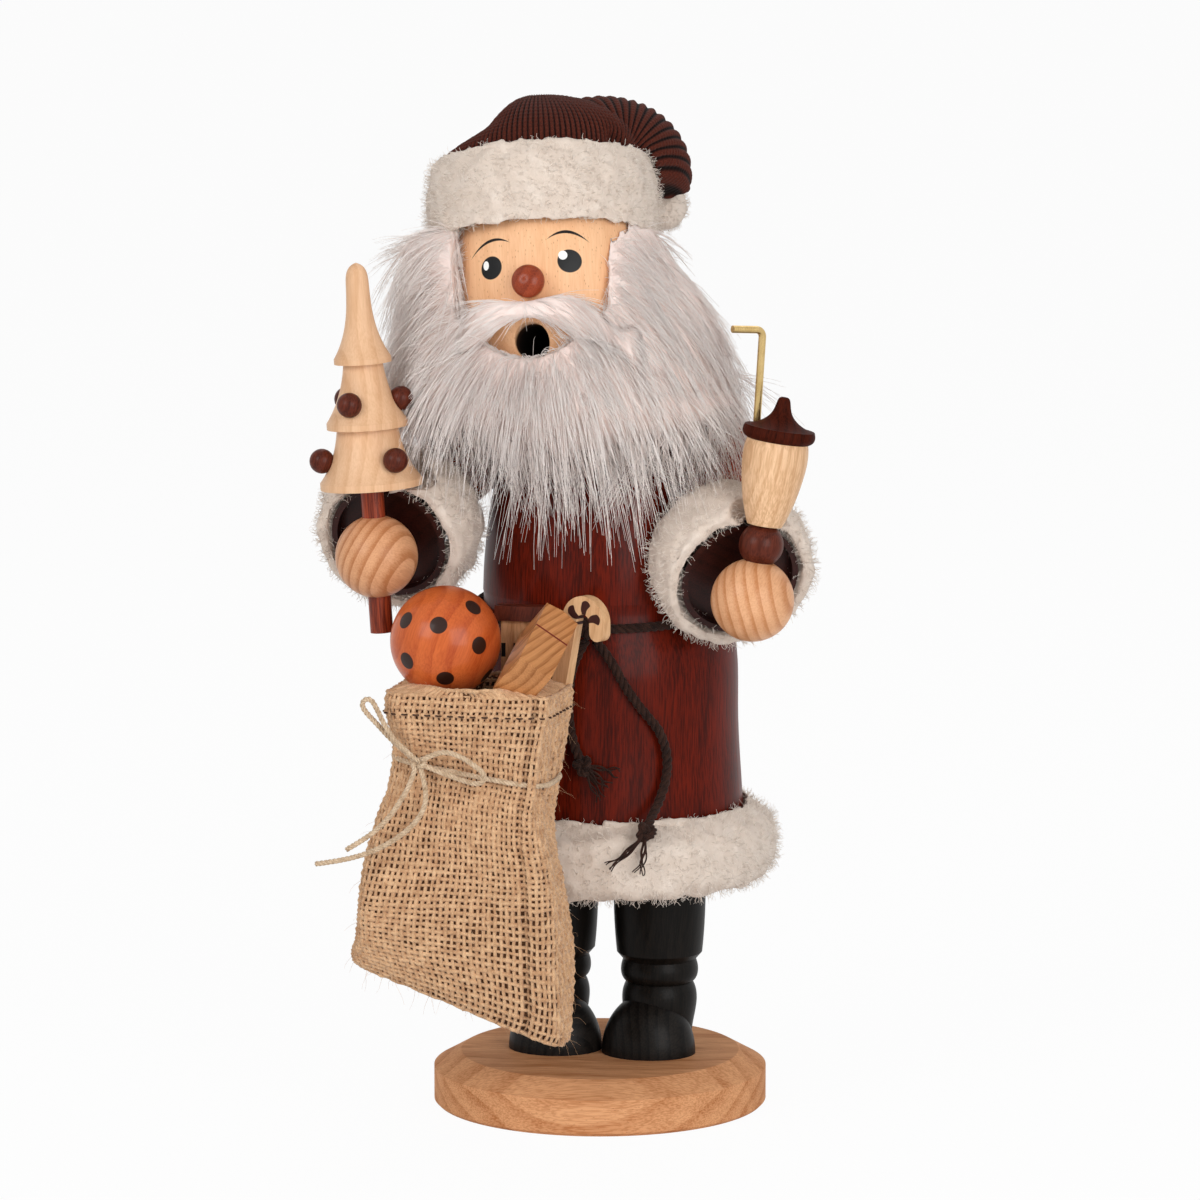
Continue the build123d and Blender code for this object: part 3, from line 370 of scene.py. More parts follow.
def soft_gloss(shader, gloss, sheen, sheen_rough):
    """How much fibres glint, and how much their edges glow."""
    shader.inputs["Specular IOR Level"].default_value = gloss
    shader.inputs["Sheen Weight"].default_value = sheen
    shader.inputs["Sheen Roughness"].default_value = sheen_rough


print("cord and material helpers ready")

# %% [markdown]
# Both cords are plant or cotton fibre. One shader group gives them short fibres and patches of tone, with
# painted shade:
# the colour is lighter on the highs of the fibre bump and darker in its lows; each material sets its own
# colours.

# %% Fibre group and the two cord materials
fibre, given, result = group(
    "Fibre",
    "ShaderNodeTree",
    [
        ("Vector", "NodeSocketVector", None),
        ("Dark Tone And Shade", "NodeSocketColor", (0.1, 0.05, 0.03, 1)),
        ("Light", "NodeSocketColor", (0.4, 0.3, 0.2, 1)),
        ("Fineness", "NodeSocketFloat", 3.0),
        ("Patches", "NodeSocketFloat", 0.25),
    ],
    [("Color", "NodeSocketColor"), ("Height", "NodeSocketFloat")],
)
hairs = noise(fibre, given["Vector"], given["Fineness"], 5.0)
patches = noise(fibre, given["Vector"], given["Patches"], 2.0)
both = maths(fibre, "ADD", maths(fibre, "MULTIPLY", hairs, 0.75), maths(fibre, "MULTIPLY", patches, 0.5))
# Painted shade: the colour follows the fibre bump, darker in its lows; the patches are the fibre's own darker
# and lighter tone.
fibre.links.new(mixed(fibre, rise(fibre, both, 0.38, 0.86), given["Dark Tone And Shade"], given["Light"]), result["Color"])
fibre.links.new(hairs, result["Height"])


def fibrous(name, deep, light, fineness, patches_scale, sheen=0.3, bump=0.35, rough=0.85):
    """Material of spun or matted fibre, with painted shade in the lows of its bump."""
    material, tree, shader = new_material(name)
    inputs = {
        "Vector": measure(tree),
        "Dark Tone And Shade": deep,
        "Light": light,
        "Fineness": fineness,
        "Patches": patches_scale,
    }
    look = put(tree, "ShaderNodeGroup", inputs, node_tree=fibre).outputs
    tree.links.new(look["Color"], shader.inputs["Base Color"])
    roughened(tree, shader, look["Height"], 0.2, 0.8, rough - 0.08, rough + 0.08)
    bumped(tree, shader, look["Height"], bump, 0.3)
    soft_gloss(shader, 0.15, sheen, 0.5)
    return material


dark_cord = fibrous("dark cord", colour(20, 10, 8), colour(62, 38, 29), 4.0, 0.4, sheen=0.05)
jute = fibrous("jute string", colour(168, 138, 106), colour(232, 208, 178), 5.0, 0.5)
print("fibre materials:", dark_cord.name, jute.name)

# %% [markdown]
# The belt is a thick dark cord of three strands. It goes round the waist, is knotted in front, and its two
# ends hang down over the coat, each stopped by a small knot and then unravelled. The loop round the waist
# lies on the body; the hanging ends are free cords.

# %% Belt routes
long_end = [
    (0.0076, -0.0394, 0.1598),
    (0.0108, -0.0396, 0.1560),
    (0.0140, -0.0392, 0.1510),
    (0.0169, -0.0384, 0.1452),
    (0.0220, -0.0365, 0.1374),
    (0.0275, -0.0335, 0.1304),
    (0.0299, -0.0323, 0.1220),
    (0.0296, -0.0332, 0.1138),
    (0.0278, -0.0366, 0.1069),
    (0.0263, -0.0423, 0.1024),
    (0.0260, -0.0456, 0.1004),
]
short_end = [
    (0.0044, -0.0396, 0.1596),
    (0.0020, -0.0412, 0.1550),
    (0.0002, -0.0412, 0.1500),
    (-0.0008, -0.0413, 0.1440),
    (-0.0008, -0.0416, 0.1360),
    (0.0002, -0.0419, 0.1290),
    (0.0020, -0.0422, 0.1236),
    (0.0034, -0.0424, 0.1210),
]
long_frays = [
    [(0.0249, -0.0479, 0.0976), (0.0214, -0.0516, 0.0932), (0.0154, -0.0542, 0.0884)],
    [(0.0259, -0.0483, 0.0974), (0.0260, -0.0504, 0.0920), (0.0246, -0.0514, 0.0864)],
]
short_frays = [
    [(0.0060, -0.0420, 0.1191), (0.0108, -0.0413, 0.1184), (0.0154, -0.0396, 0.1166)],
    [(0.0060, -0.0423, 0.1180), (0.0094, -0.0422, 0.1154), (0.0122, -0.0414, 0.1124)],
    [(0.0052, -0.0424, 0.1176), (0.0074, -0.0428, 0.1130), (0.0102, -0.0424, 0.1086)],
]
belt_radius = 0.0016
belt_lay = 7.5 * mm
waist = Vector((0.001, 0.0045, 0.1656))
waist_tilt = Matrix.Rotation(math.radians(3.4), 3, "X")
waist_radius = 0.0423
# In degrees round the waist: where the knot sits, and the room it takes on either side.
knot_turn, knot_room = -84, 5


def knot(centre, half_sizes, radius, lay, turn=0.0):
    """An overhand knot seen from the front: a trefoil of twisted cord; sizes in millimetres."""
    t = np.linspace(0, 2 * math.pi, 160)
    wide = np.sin(t) + 2 * np.sin(2 * t)
    high = np.cos(t) - 2 * np.cos(2 * t)
    loop = np.stack([wide, -1.4 * np.sin(3 * t), high], axis=1)
    spread = np.array(half_sizes) * mm - radius * mm
    loop *= spread / np.abs(loop).max(axis=0)
    loop = loop @ np.array(Matrix.Rotation(turn, 3, "Y")).T + np.array(centre)
    return wound(loop, radius * mm, lay * mm, closed=True, step=0.35)


def frayed(routes, radius, count, seed):
    """Loose wavy yarns that follow the routes and spread towards their ends."""
    random = np.random.default_rng(seed)
    parts = []
    for route in routes:
        line, along = spaced(drawn(route), 0.6 * mm)
        share = along / along[-1]
        across, upward = sides(line)
        for number in range(count):
            angle = 2 * math.pi * (number / count + random.random() * 0.2)
            wave = random.uniform(0.5, 0.9) * mm * share * np.sin(share * random.uniform(6, 11) + angle)
            spread = (0.35 + 1.1 * share**1.5) * mm * random.uniform(0.6, 1.2)
            shift = np.cos(angle) * spread + wave
            rise_by = np.sin(angle) * spread - wave
            reach = line + shift[:, None] * across + rise_by[:, None] * upward
            parts.append(tube(reach, radius * mm * (1 - 0.5 * share), 5))
    return parts


print("belt routes:", len(long_end), "and", len(short_end), "points")


# %% Belt pieces
def hanging(name, route, radius, lay, material, slot):
    """A free twisted cord along its route."""
    line = drawn(route)
    cord_piece = shaped(name + "_wound", wound(line, radius, lay))
    dress(cord_piece, material, "base", slot, name)


def of_cord(name, parts, node):
    """A piece of the belt's dark cord."""
    return dress(shaped(name, parts), dark_cord, "base", "dark_cord", node)


turn = np.linspace(math.radians(knot_turn + knot_room), math.radians(knot_turn + 360 - knot_room), 720)
belt_ring = np.stack([waist_radius * np.cos(turn), waist_radius * np.sin(turn), 0 * turn], axis=1)
belt_line = belt_ring @ np.array(waist_tilt).T + np.array(waist)
of_cord("belt_wound", wound(belt_line, belt_radius, belt_lay), "belt_cord")
knot_low, knot_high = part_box("belt_knot")
belt_knot_middle = tuple((knot_low + knot_high) / 2)
of_cord("belt_knot_tied", knot(belt_knot_middle, (4.5, 3.2, 4.4), 1.55, 6), "belt_knot")

# The knots at the ends: middle in metres, half sizes in millimetres, and turn.
end_knots = {
    "long": ((0.0259, -0.0469, 0.0993), (3.5, 3.2, 3.7), 0.5),
    "short": ((0.0042, -0.0423, 0.1192), (3.5, 3.0, 3.7), -0.4),
}
tied = {
    word: of_cord(f"tail_knot_{word}_tied", knot(middle, half_sizes, 1.35, 5, turned), f"tail_knot_{word}")
    for word, (middle, half_sizes, turned) in end_knots.items()
}
# The frayed tips: their routes, the yarns in each, and the seed.
frayed_tips = {"long": (long_frays, 5, 3), "short": (short_frays, 4, 4)}
loose = {
    word: of_cord(f"{word}_frays", frayed(routes, 0.38, yarns, seed), f"tail_ends_{word}")
    for word, (routes, yarns, seed) in frayed_tips.items()
}
for word, route in {"long": long_end, "short": short_end}.items():
    hanging(f"belt_tail_{word}", route, belt_radius, belt_lay, dark_cord, "dark_cord")

# %% [markdown]
# The sack is closed with a thin jute string: one turn round its neck, tied in a bow with two loops and two
# ends of different length. The loops go back into the knot; the ends stop bare.

# %% Bow routes
left_loop = [
    (-0.0412, -0.0810, 0.1256),
    (-0.0452, -0.0814, 0.1290),
    (-0.0496, -0.0820, 0.1330),
    (-0.0536, -0.0823, 0.1374),
    (-0.0566, -0.0825, 0.1404),
    (-0.0584, -0.0828, 0.1430),
    (-0.0574, -0.0832, 0.1452),
    (-0.0549, -0.0836, 0.1454),
    (-0.0529, -0.0839, 0.1420),
    (-0.0504, -0.0841, 0.1370),
    (-0.0472, -0.0839, 0.1322),
    (-0.0438, -0.0836, 0.1294),
    (-0.0410, -0.0830, 0.1266),
]
right_loop = [
    (-0.0388, -0.0827, 0.1263),
    (-0.0348, -0.0828, 0.1284),
    (-0.0306, -0.0832, 0.1294),
    (-0.0256, -0.0836, 0.1280),
    (-0.0212, -0.0836, 0.1252),
    (-0.0184, -0.0833, 0.1230),
    (-0.0183, -0.0829, 0.1204),
    (-0.0206, -0.0826, 0.1192),
    (-0.0242, -0.0823, 0.1198),
    (-0.0296, -0.0822, 0.1214),
    (-0.0342, -0.0822, 0.1230),
    (-0.0386, -0.0816, 0.1244),
]
short_string = [
    (-0.0410, -0.0823, 0.1236),
    (-0.0424, -0.0834, 0.1184),
    (-0.0454, -0.0844, 0.1130),
    (-0.0482, -0.0856, 0.1086),
    (-0.0520, -0.0870, 0.1044),
    (-0.0570, -0.0882, 0.1006),
    (-0.0620, -0.0888, 0.0976),
]
long_string = [
    (-0.0392, -0.0823, 0.1236),
    (-0.0374, -0.0836, 0.1184),
    (-0.0368, -0.0849, 0.1126),
    (-0.0392, -0.0864, 0.1076),
    (-0.0434, -0.0878, 0.1034),
    (-0.0490, -0.0893, 0.0996),
    (-0.0556, -0.0903, 0.0966),
    (-0.0634, -0.0910, 0.0944),
    (-0.0714, -0.0915, 0.0931),
]
string_radius = 0.0009
string_lay = 4.2 * mm
bow_cords = {
    "bow_loop_left": (left_loop, "object"),
    "bow_loop_right": (right_loop, "object"),
    "bow_tail_short": (short_string, "bare"),
    "bow_tail_long": (long_string, "bare"),
}
print("bow cords:", list(bow_cords))

# %% Bow pieces
bow_knot = shaped("bow_knot_tied", knot((-0.0402, -0.0817, 0.1250), (2.9, 2.2, 2.8), 0.85, 3.6, 0.3))
dress(bow_knot, jute, "base", "jute", "bow_knot")
for name, (route, far_end) in bow_cords.items():
    hanging(name, route, string_radius, string_lay, jute, "jute")

# %% [markdown]
# Nearly everything stiff on the figure is turned wood. Wood is built in rings round a pith, its fibres run
# along the tree, and beech has short dark flecks. One group does this for every wood on the figure; what
# changes is the direction of the grain, the colours and how much of it shows through the stain.

# %% Wood group
wood_grain, given, result = group(
    "Wood grain",
    "ShaderNodeTree",
    [
        ("Vector", "NodeSocketVector", None),
        ("Light", "NodeSocketColor", (0.8, 0.6, 0.4, 1)),
        ("Dark", "NodeSocketColor", (0.6, 0.4, 0.2, 1)),
        ("Fleck Color", "NodeSocketColor", (0.3, 0.15, 0.08, 1)),
        ("Ring Width", "NodeSocketFloat", 3.0),
        ("Rings", "NodeSocketFloat", 0.4),
        ("Fibres", "NodeSocketFloat", 0.4),
        ("Flecks", "NodeSocketFloat", 0.6),
    ],
    [("Color", "NodeSocketColor"), ("Height", "NodeSocketFloat")],
)
warp = scaled(wood_grain, noise(wood_grain, given["Vector"], 0.02, 1.0, "Color"), 12.0)
wavy = vectors(wood_grain, "ADD", given["Vector"], warp)
beside_pith = vectors(wood_grain, "ADD", wavy, (19.0, 11.0, 0.0))
from_pith = vectors(wood_grain, "MULTIPLY", beside_pith, (1.0, 1.0, 0.04))
radius = vectors(wood_grain, "LENGTH", from_pith, out=1)
ring = maths(wood_grain, "FRACT", maths(wood_grain, "DIVIDE", radius, given["Ring Width"]))
late = maths(wood_grain, "MULTIPLY", rise(wood_grain, ring, 0.35, 0.93), rise(wood_grain, ring, 1.0, 0.93))
long_fibre = noise(wood_grain, vectors(wood_grain, "MULTIPLY", given["Vector"], (2.1, 2.1, 0.12)), 1.0, 4.0)
broad = noise(wood_grain, vectors(wood_grain, "MULTIPLY", given["Vector"], (0.16, 0.16, 0.03)), 1.0, 2.0)
cells = {"Vector": vectors(wood_grain, "MULTIPLY", given["Vector"], (1.5, 1.5, 0.38)), "Scale": 1.0}
cell_distance = put(wood_grain, "ShaderNodeTexVoronoi", cells).outputs["Distance"]
fleck = rise(wood_grain, cell_distance, 0.19, 0.08)
depth = maths(wood_grain, "MULTIPLY", late, given["Rings"])
fibre_share = maths(wood_grain, "MULTIPLY", rise(wood_grain, long_fibre, 0.36, 0.68), given["Fibres"])
depth = maths(wood_grain, "ADD", depth, fibre_share)
broad_share = maths(wood_grain, "MULTIPLY", rise(wood_grain, broad, 0.35, 0.7), 0.25)
depth = maths(wood_grain, "ADD", depth, broad_share)
base = mixed(wood_grain, maths(wood_grain, "MINIMUM", depth, 1.0), given["Light"], given["Dark"])
speck = maths(wood_grain, "MULTIPLY", fleck, given["Flecks"])
wood_grain.links.new(mixed(wood_grain, speck, base, given["Fleck Color"]), result["Color"])
raised = maths(wood_grain, "MULTIPLY", long_fibre, 0.5)
relief = maths(wood_grain, "SUBTRACT", raised, maths(wood_grain, "MULTIPLY", fleck, 0.6))
wood_grain.links.new(relief, result["Height"])


def wood(name, light, dark, fleck_colour, place=None, rough=0.42, coat=0.0, bump=0.15, gloss=0.16, **amounts):
    """Turned or sawn wood; place is (origin, grain direction) in millimetres, amounts fill the group."""
    material, tree, shader = new_material(name)
    origin, along = place or ((0, 0, 0), (0, 0, 1))
    side = (1, 0, 0) if abs(Vector(along).normalized().x) < 0.9 else (0, 1, 0)
    inputs = {"Light": light, "Dark": dark, "Fleck Color": fleck_colour}
    inputs["Vector"] = measure(tree, origin, along, side)
    inputs.update({word.replace("_", " ").title(): value for word, value in amounts.items()})
    look = put(tree, "ShaderNodeGroup", inputs, node_tree=wood_grain).outputs
    tree.links.new(look["Color"], shader.inputs["Base Color"])
    roughened(tree, shader, look["Height"], 0.0, 0.5, rough + 0.06, rough - 0.04)
    bumped(tree, shader, look["Height"], bump, 0.15)
    shader.inputs["Coat Weight"].default_value = coat
    shader.inputs["Coat Roughness"].default_value = 0.14
    shader.inputs["Specular IOR Level"].default_value = gloss
    return material


def paint(material, mask, coat_of_paint, rough=0.5):
    """Lays a colour over a material where the mask is 1."""
    tree = material.node_tree
    shader = tree.nodes["Principled BSDF"]
    below = shader.inputs["Base Color"].links[0].from_socket
    tree.links.new(mixed(tree, mask, below, coat_of_paint), shader.inputs["Base Color"])
    below = shader.inputs["Roughness"].links[0].from_socket
    blended = put(tree, "ShaderNodeMix", {0: mask, 2: below, 3: rough}, data_type="FLOAT")
    tree.links.new(blended.outputs[0], shader.inputs["Roughness"])


def finish(material, *names):
    """Gives solids their material."""
    for name in names:
        nodes[name].data.materials.clear()
        nodes[name].data.materials.append(material)


print("wood group has", len(wood_grain.nodes), "nodes")

# %% [markdown]
# The base is a beech disc cut across a plank, so its grain lies flat and shows as long bands on the rim. The
# ball hands are beech too, each with its grain turned another way, and their rings close into curves.

# %% Plain beech
beech_light, beech_dark, beech_fleck = colour(230, 176, 134), colour(194, 130, 84), colour(140, 82, 48)
base_beech = wood(
    "beech base", colour(226, 168, 122), colour(176, 112, 68), beech_fleck,
    ((0, 30, -20), (1, 0.18, 0.02)),
    rough=0.62, gloss=0.05, ring_width=6.5, rings=0.34, fibres=0.5, flecks=0.5,
)
left_beech = wood(
    "beech left hand", beech_light, beech_dark, beech_fleck, ((40, -40, 150), (0.1, 0.9, 0.4)),
    rough=0.4, coat=0.05, ring_width=3.3, rings=0.7, fibres=0.3, flecks=0.35,
)
right_beech = wood(
    "beech right hand", colour(222, 166, 124), colour(180, 118, 76), beech_fleck,
    ((-75, -50, 190), (0.25, 0.85, -0.35)),
    rough=0.4, coat=0.05, ring_width=3.0, rings=0.75, fibres=0.3, flecks=0.3,
)
dowel_beech = wood("beech dowels", beech_light, beech_dark, beech_fleck, rough=0.6, fibres=0.5, rings=0.2)
finish(base_beech, "base_disc")
finish(left_beech, "hand_left")
finish(right_beech, "hand_right")
finish(dowel_beech, "boot_dowels", "leg_dowels", "shoulder_dowels", "wrist_dowels", "neck_tube")
print("beech on the base, hands and dowels")

# %% [markdown]
# The coat is beech under a red-brown stain and a satin lacquer. The stain hides the rings but sinks deeper
# into the pores, so fine darker streaks run up the turned body. The arms took the stain lighter.

# %% Stained and lacquered wood
coat_wood = wood(
    "coat stain", colour(106, 26, 9), colour(60, 13, 5), colour(32, 7, 3), ((1, 4.5, 0), (0.02, 0.01, 1)),
    rough=0.36, coat=0.07, bump=0.1, gloss=0.05, ring_width=7.0, rings=0.25, fibres=0.75, flecks=0.35,
)
arm_left_wood = wood(
    "left arm stain", colour(168, 70, 38), colour(110, 36, 18), colour(60, 18, 9),
    ((37, -5, 190), (0.3, -0.3, 0.9)),
    rough=0.34, coat=0.15, bump=0.1, ring_width=5.0, rings=0.45, fibres=0.6, flecks=0.4,
)
arm_right_wood = wood(
    "right arm stain", colour(150, 58, 32), colour(98, 30, 16), colour(54, 16, 8),
    ((-50, -5, 200), (-0.4, -0.3, 0.8)),
    rough=0.34, coat=0.15, bump=0.1, ring_width=5.0, rings=0.45, fibres=0.6, flecks=0.4,
)
sleeve_wood = wood(
    "sleeve stain", colour(58, 22, 16), colour(32, 12, 9), colour(16, 7, 5),
    ((40, -30, 170), (0.5, -0.8, -0.4)),
    rough=0.4, coat=0.06, bump=0.2, ring_width=4.0, rings=0.3, fibres=0.6, flecks=0.4,
)
boot_wood = wood(
    "boot stain", colour(26, 22, 19), colour(13, 11, 9), colour(5, 4, 4), ((18, 4, 0), (0.05, 0.02, 1)),
    rough=0.42, coat=0.03, bump=0.35, gloss=0.08, ring_width=3.5, rings=0.35, fibres=0.7, flecks=0.6,
)
toe_wood = wood(
    "toe stain", colour(34, 30, 27), colour(14, 12, 11), colour(5, 4, 4), ((18, -10, 0), (0.1, 1, 0.25)),
    rough=0.42, coat=0.04, bump=0.35, gloss=0.08, ring_width=3.0, rings=0.6, fibres=0.6, flecks=0.5,
)
finish(coat_wood, "coat_skirt", "torso")
finish(arm_left_wood, "arm_left")
finish(arm_right_wood, "arm_right")
finish(sleeve_wood, "sleeve_left", "sleeve_right")
finish(boot_wood, "boot_left", "boot_right")
finish(toe_wood, "toe_left", "toe_right")
print("stained coat, arms, sleeves and boots")

# %% [markdown]
# The tree, the lantern and the candy cane are maple, which is paler and quieter than beech. The tree's
# trunk and the nose are stained red-brown, and the beads and the lantern's roof dark brown.

# %% Maple and small stained pieces
tree_maple = wood(
    "maple tree", colour(232, 190, 152), colour(208, 158, 116), colour(176, 122, 82),
    ((-60, -50, 210), (-0.063, -0.015, 0.998)),
    rough=0.42, coat=0.05, ring_width=5.0, rings=0.35, fibres=0.3, flecks=0.12,
)
lantern_maple = wood(
    "maple lantern", colour(238, 198, 158), colour(206, 160, 118), colour(168, 120, 82),
    ((66, -42, 200), (0.148, 0.034, 0.988)),
    rough=0.42, coat=0.05, ring_width=3.0, rings=0.45, fibres=0.7, flecks=0.3,
)
red_brown = wood(
    "nose stain", colour(160, 68, 36), colour(108, 36, 16), colour(60, 18, 9),
    ((-10, -45, 276), (0.1, 1, 0.1)),
    rough=0.3, coat=0.15, bump=0.08, ring_width=4.0, rings=0.3, fibres=0.4, flecks=0.2,
)
trunk_wood = wood(
    "trunk stain", colour(158, 66, 36), colour(96, 34, 20), colour(46, 16, 10),
    ((-62, -54, 180), (-0.063, -0.015, 0.998)),
    rough=0.36, coat=0.15, bump=0.25, ring_width=2.4, rings=0.4, fibres=0.8, flecks=0.6,
)
dark_brown = wood(
    "dark brown stain", colour(98, 44, 30), colour(54, 21, 14), colour(28, 10, 7),
    ((0, 0, 0), (0.2, 0.1, 1)),
    rough=0.36, coat=0.08, bump=0.12, gloss=0.08, ring_width=3.0, rings=0.3, fibres=0.5, flecks=0.3,
)
cap_wood = wood(
    "lantern roof stain", colour(74, 27, 15), colour(38, 13, 7), colour(20, 7, 4),
    ((67, -41, 224), (0.148, 0.034, 0.988)),
    rough=0.55, bump=0.15, gloss=0.03, ring_width=2.6, rings=0.35, fibres=0.5, flecks=0.3,
)
finish(tree_maple, "tree")
finish(lantern_maple, "lantern_body")
finish(trunk_wood, "tree_trunk")
finish(dark_brown, "tree_beads", "lantern_bead", "toy_house_roof")
finish(cap_wood, "lantern_cap")
print("maple and dark stained pieces")

# %% [markdown]
# The face is painted on the turned head: two round eyes with a white light in each, and two thin brows that
# taper to both ends. Each is a mask in the head's own coordinates, laid over the beech like real paint.

# %% Head, face paint and nose
head_origin = (-12.6, -15.2, 270.1)
head_up = (-0.1007, 0.2672, 0.9584)
head_across = (0.9945, 0.0, 0.1045)
head_beech = wood(
    "beech head", colour(246, 196, 152), colour(226, 168, 122), colour(166, 98, 62),
    (head_origin, head_up),
    rough=0.44, coat=0.04, ring_width=9.0, rings=0.2, fibres=0.35, flecks=0.75,
)
tree = head_beech.node_tree
face = own_axes(tree, head_origin, head_up, head_across)
in_front = rise(tree, face["Y"], -12.0, -14.0)


def disc_mask(across, high, wide, tall, depth=in_front):
    """Mask of a painted oval on the face, with a crisp edge."""
    side = maths(tree, "DIVIDE", maths(tree, "SUBTRACT", face["X"], across), wide)
    up = maths(tree, "DIVIDE", maths(tree, "SUBTRACT", face["Z"], high), tall)
    squares = maths(tree, "ADD", maths(tree, "MULTIPLY", side, side), maths(tree, "MULTIPLY", up, up))
    out = maths(tree, "SQRT", squares)
    return maths(tree, "MULTIPLY", rise(tree, out, 1.03, 0.97), depth)


def brow_mask(first, top, last, thick):
    """Mask of a thin arc through three places, thickest in its middle."""
    ends = np.array([first, top, last], float)
    bend = np.polyfit(ends[:, 0], ends[:, 1], 2)
    middle, half = (first[0] + last[0]) / 2, abs(last[0] - first[0]) / 2
    slope = maths(tree, "MULTIPLY_ADD", face["X"], bend[0], bend[1])
    curve = maths(tree, "MULTIPLY_ADD", slope, face["X"], bend[2])
    away = maths(tree, "ABSOLUTE", maths(tree, "SUBTRACT", face["Z"], curve))
    along = maths(tree, "DIVIDE", maths(tree, "SUBTRACT", face["X"], middle), half)
    taper = maths(tree, "SUBTRACT", 1.0, maths(tree, "MULTIPLY", along, along))
    width = maths(tree, "MULTIPLY", taper, thick)
    return maths(tree, "MULTIPLY", rise(tree, maths(tree, "SUBTRACT", away, width), 0.06, -0.06), in_front)


charcoal = colour(20, 20, 21)
brows = [((-19.6, 6.6), (-12.2, 11.3), (-5.0, 9.9)), ((6.9, 9.8), (12.4, 12.3), (19.6, 8.8))]
eyes = [(-11.8, 2.5, 3.75, 3.75), (13.7, 2.7, 3.6, 3.75)]
lights = [(-13.7, 3.5, 1.0, 1.5), (11.8, 4.6, 1.35, 1.45)]
mouth_high = -21.6
mouth_shade = [(5.85, -27.6, -24.6, colour(34, 18, 11)), (11.0, -22.5, -21.5, colour(22, 12, 8))]
for stroke in brows:
    paint(head_beech, brow_mask(*stroke, 0.5), colour(22, 19, 17), 0.45)
for oval in eyes:
    paint(head_beech, disc_mask(*oval), charcoal, 0.35)
for oval in lights:
    paint(head_beech, disc_mask(*oval), colour(250, 250, 248), 0.35)
# Painted shade: the mouth's bore, and all of the head's inside behind it, are coloured dark, for the shade in
# the hollow.
for reach, front, behind, dark in mouth_shade:
    inside = rise(tree, face["Y"], front, behind)
    paint(head_beech, disc_mask(0.0, mouth_high, reach, reach, inside), dark, 0.8)
finish(head_beech, "head")

# The nose is stained only on its domed front; a ring of bare wood is left where it meets the face.
tree = red_brown.node_tree
nose_depth = own_axes(tree, head_origin, head_up, head_across)["Y"]
paint(red_brown, rise(tree, nose_depth, -34.9, -34.6), colour(226, 168, 122), 0.45)
finish(red_brown, "nose_peg")
print("face painted:", len(eyes), "eyes,", len(brows), "brows")

# %% [markdown]
# The toys are small stained and painted woods: a ball with dark dots all round, a striped block with one
# thin inlaid line, a house wall with little dark windows, and a candy cane with dark lobes on its hook.

# %% Toys
ball_centre = (-36.5, -61.0, 161.3)
ball_wood = wood(
    "ball stain", colour(208, 104, 50), colour(168, 66, 26), colour(124, 46, 18),
    (ball_centre, (0.3, 0.2, 1)),
    rough=0.32, coat=0.17, bump=0.06, ring_width=6.0, rings=0.4, fibres=0.35, flecks=0.12,
)
tree = ball_wood.node_tree
outward = vectors(tree, "NORMALIZE", measure(tree, ball_centre))
dots = [
    (0.106, -0.9, 0.423), (0.788, -0.615, 0.034), (-0.51, -0.819, -0.261), (0.618, -0.375, 0.69),
    (-0.56, -0.688, 0.461), (0.2, -0.8, -0.56), (-0.95, -0.2, 0.1), (-0.3, 0.1, 0.95), (0.85, 0.4, 0.3),
    (0.3, 0.75, 0.6), (-0.5, 0.7, 0.5), (-0.6, 0.7, -0.35), (0.3, 0.9, -0.3), (0.8, -0.1, -0.6),
    (-0.4, -0.3, -0.87),
]
for dot in dots:
    near = vectors(tree, "DOT_PRODUCT", outward, tuple(Vector(dot).normalized()), out=1)
    paint(ball_wood, rise(tree, near, 0.9862, 0.9882), colour(44, 22, 14), 0.4)
finish(ball_wood, "toy_ball")

block_along, block_across = (0.097, 0.872, 0.480), (0.784, 0.231, -0.576)
block_corner = (-6.6, -83.5, 160.4)
inlay_place = 17.5
block_wood = wood(
    "striped block", colour(204, 142, 90), colour(150, 92, 50), colour(110, 62, 32),
    (block_corner, (0.3, 0.75, 0.2)),
    rough=0.4, coat=0.05, bump=0.08, ring_width=2.6, rings=0.6, fibres=0.3, flecks=0.2,
)
tree = block_wood.node_tree
along_block = own_axes(tree, block_corner, block_along, block_across)["Z"]
off_line = maths(tree, "ABSOLUTE", maths(tree, "SUBTRACT", along_block, inlay_place))
paint(block_wood, rise(tree, off_line, 0.42, 0.28), colour(112, 36, 30), 0.4)
finish(block_wood, "toy_block")

house_beech = wood(
    "house wall", colour(226, 172, 126), colour(186, 128, 84), beech_fleck,
    ((-20, -47, 145), (0, 0.1, 1)),
    rough=0.45, ring_width=4.0, rings=0.5, fibres=0.5, flecks=0.4,
)
tree = house_beech.node_tree
wall = own_axes(tree, (-21.6, -47.6, 143.2))
column = maths(tree, "PINGPONG", maths(tree, "ADD", wall["X"], 1.2), 2.0)
row = maths(tree, "PINGPONG", maths(tree, "ADD", wall["Z"], -0.3), 4.5)
window = maths(tree, "MULTIPLY", rise(tree, column, 1.25, 1.35), rise(tree, row, 2.2, 2.3))
window = maths(tree, "MULTIPLY", window, rise(tree, wall["Z"], 19.1, 19.0))
paint(house_beech, window, colour(24, 18, 16), 0.6)
finish(house_beech, "toy_house")

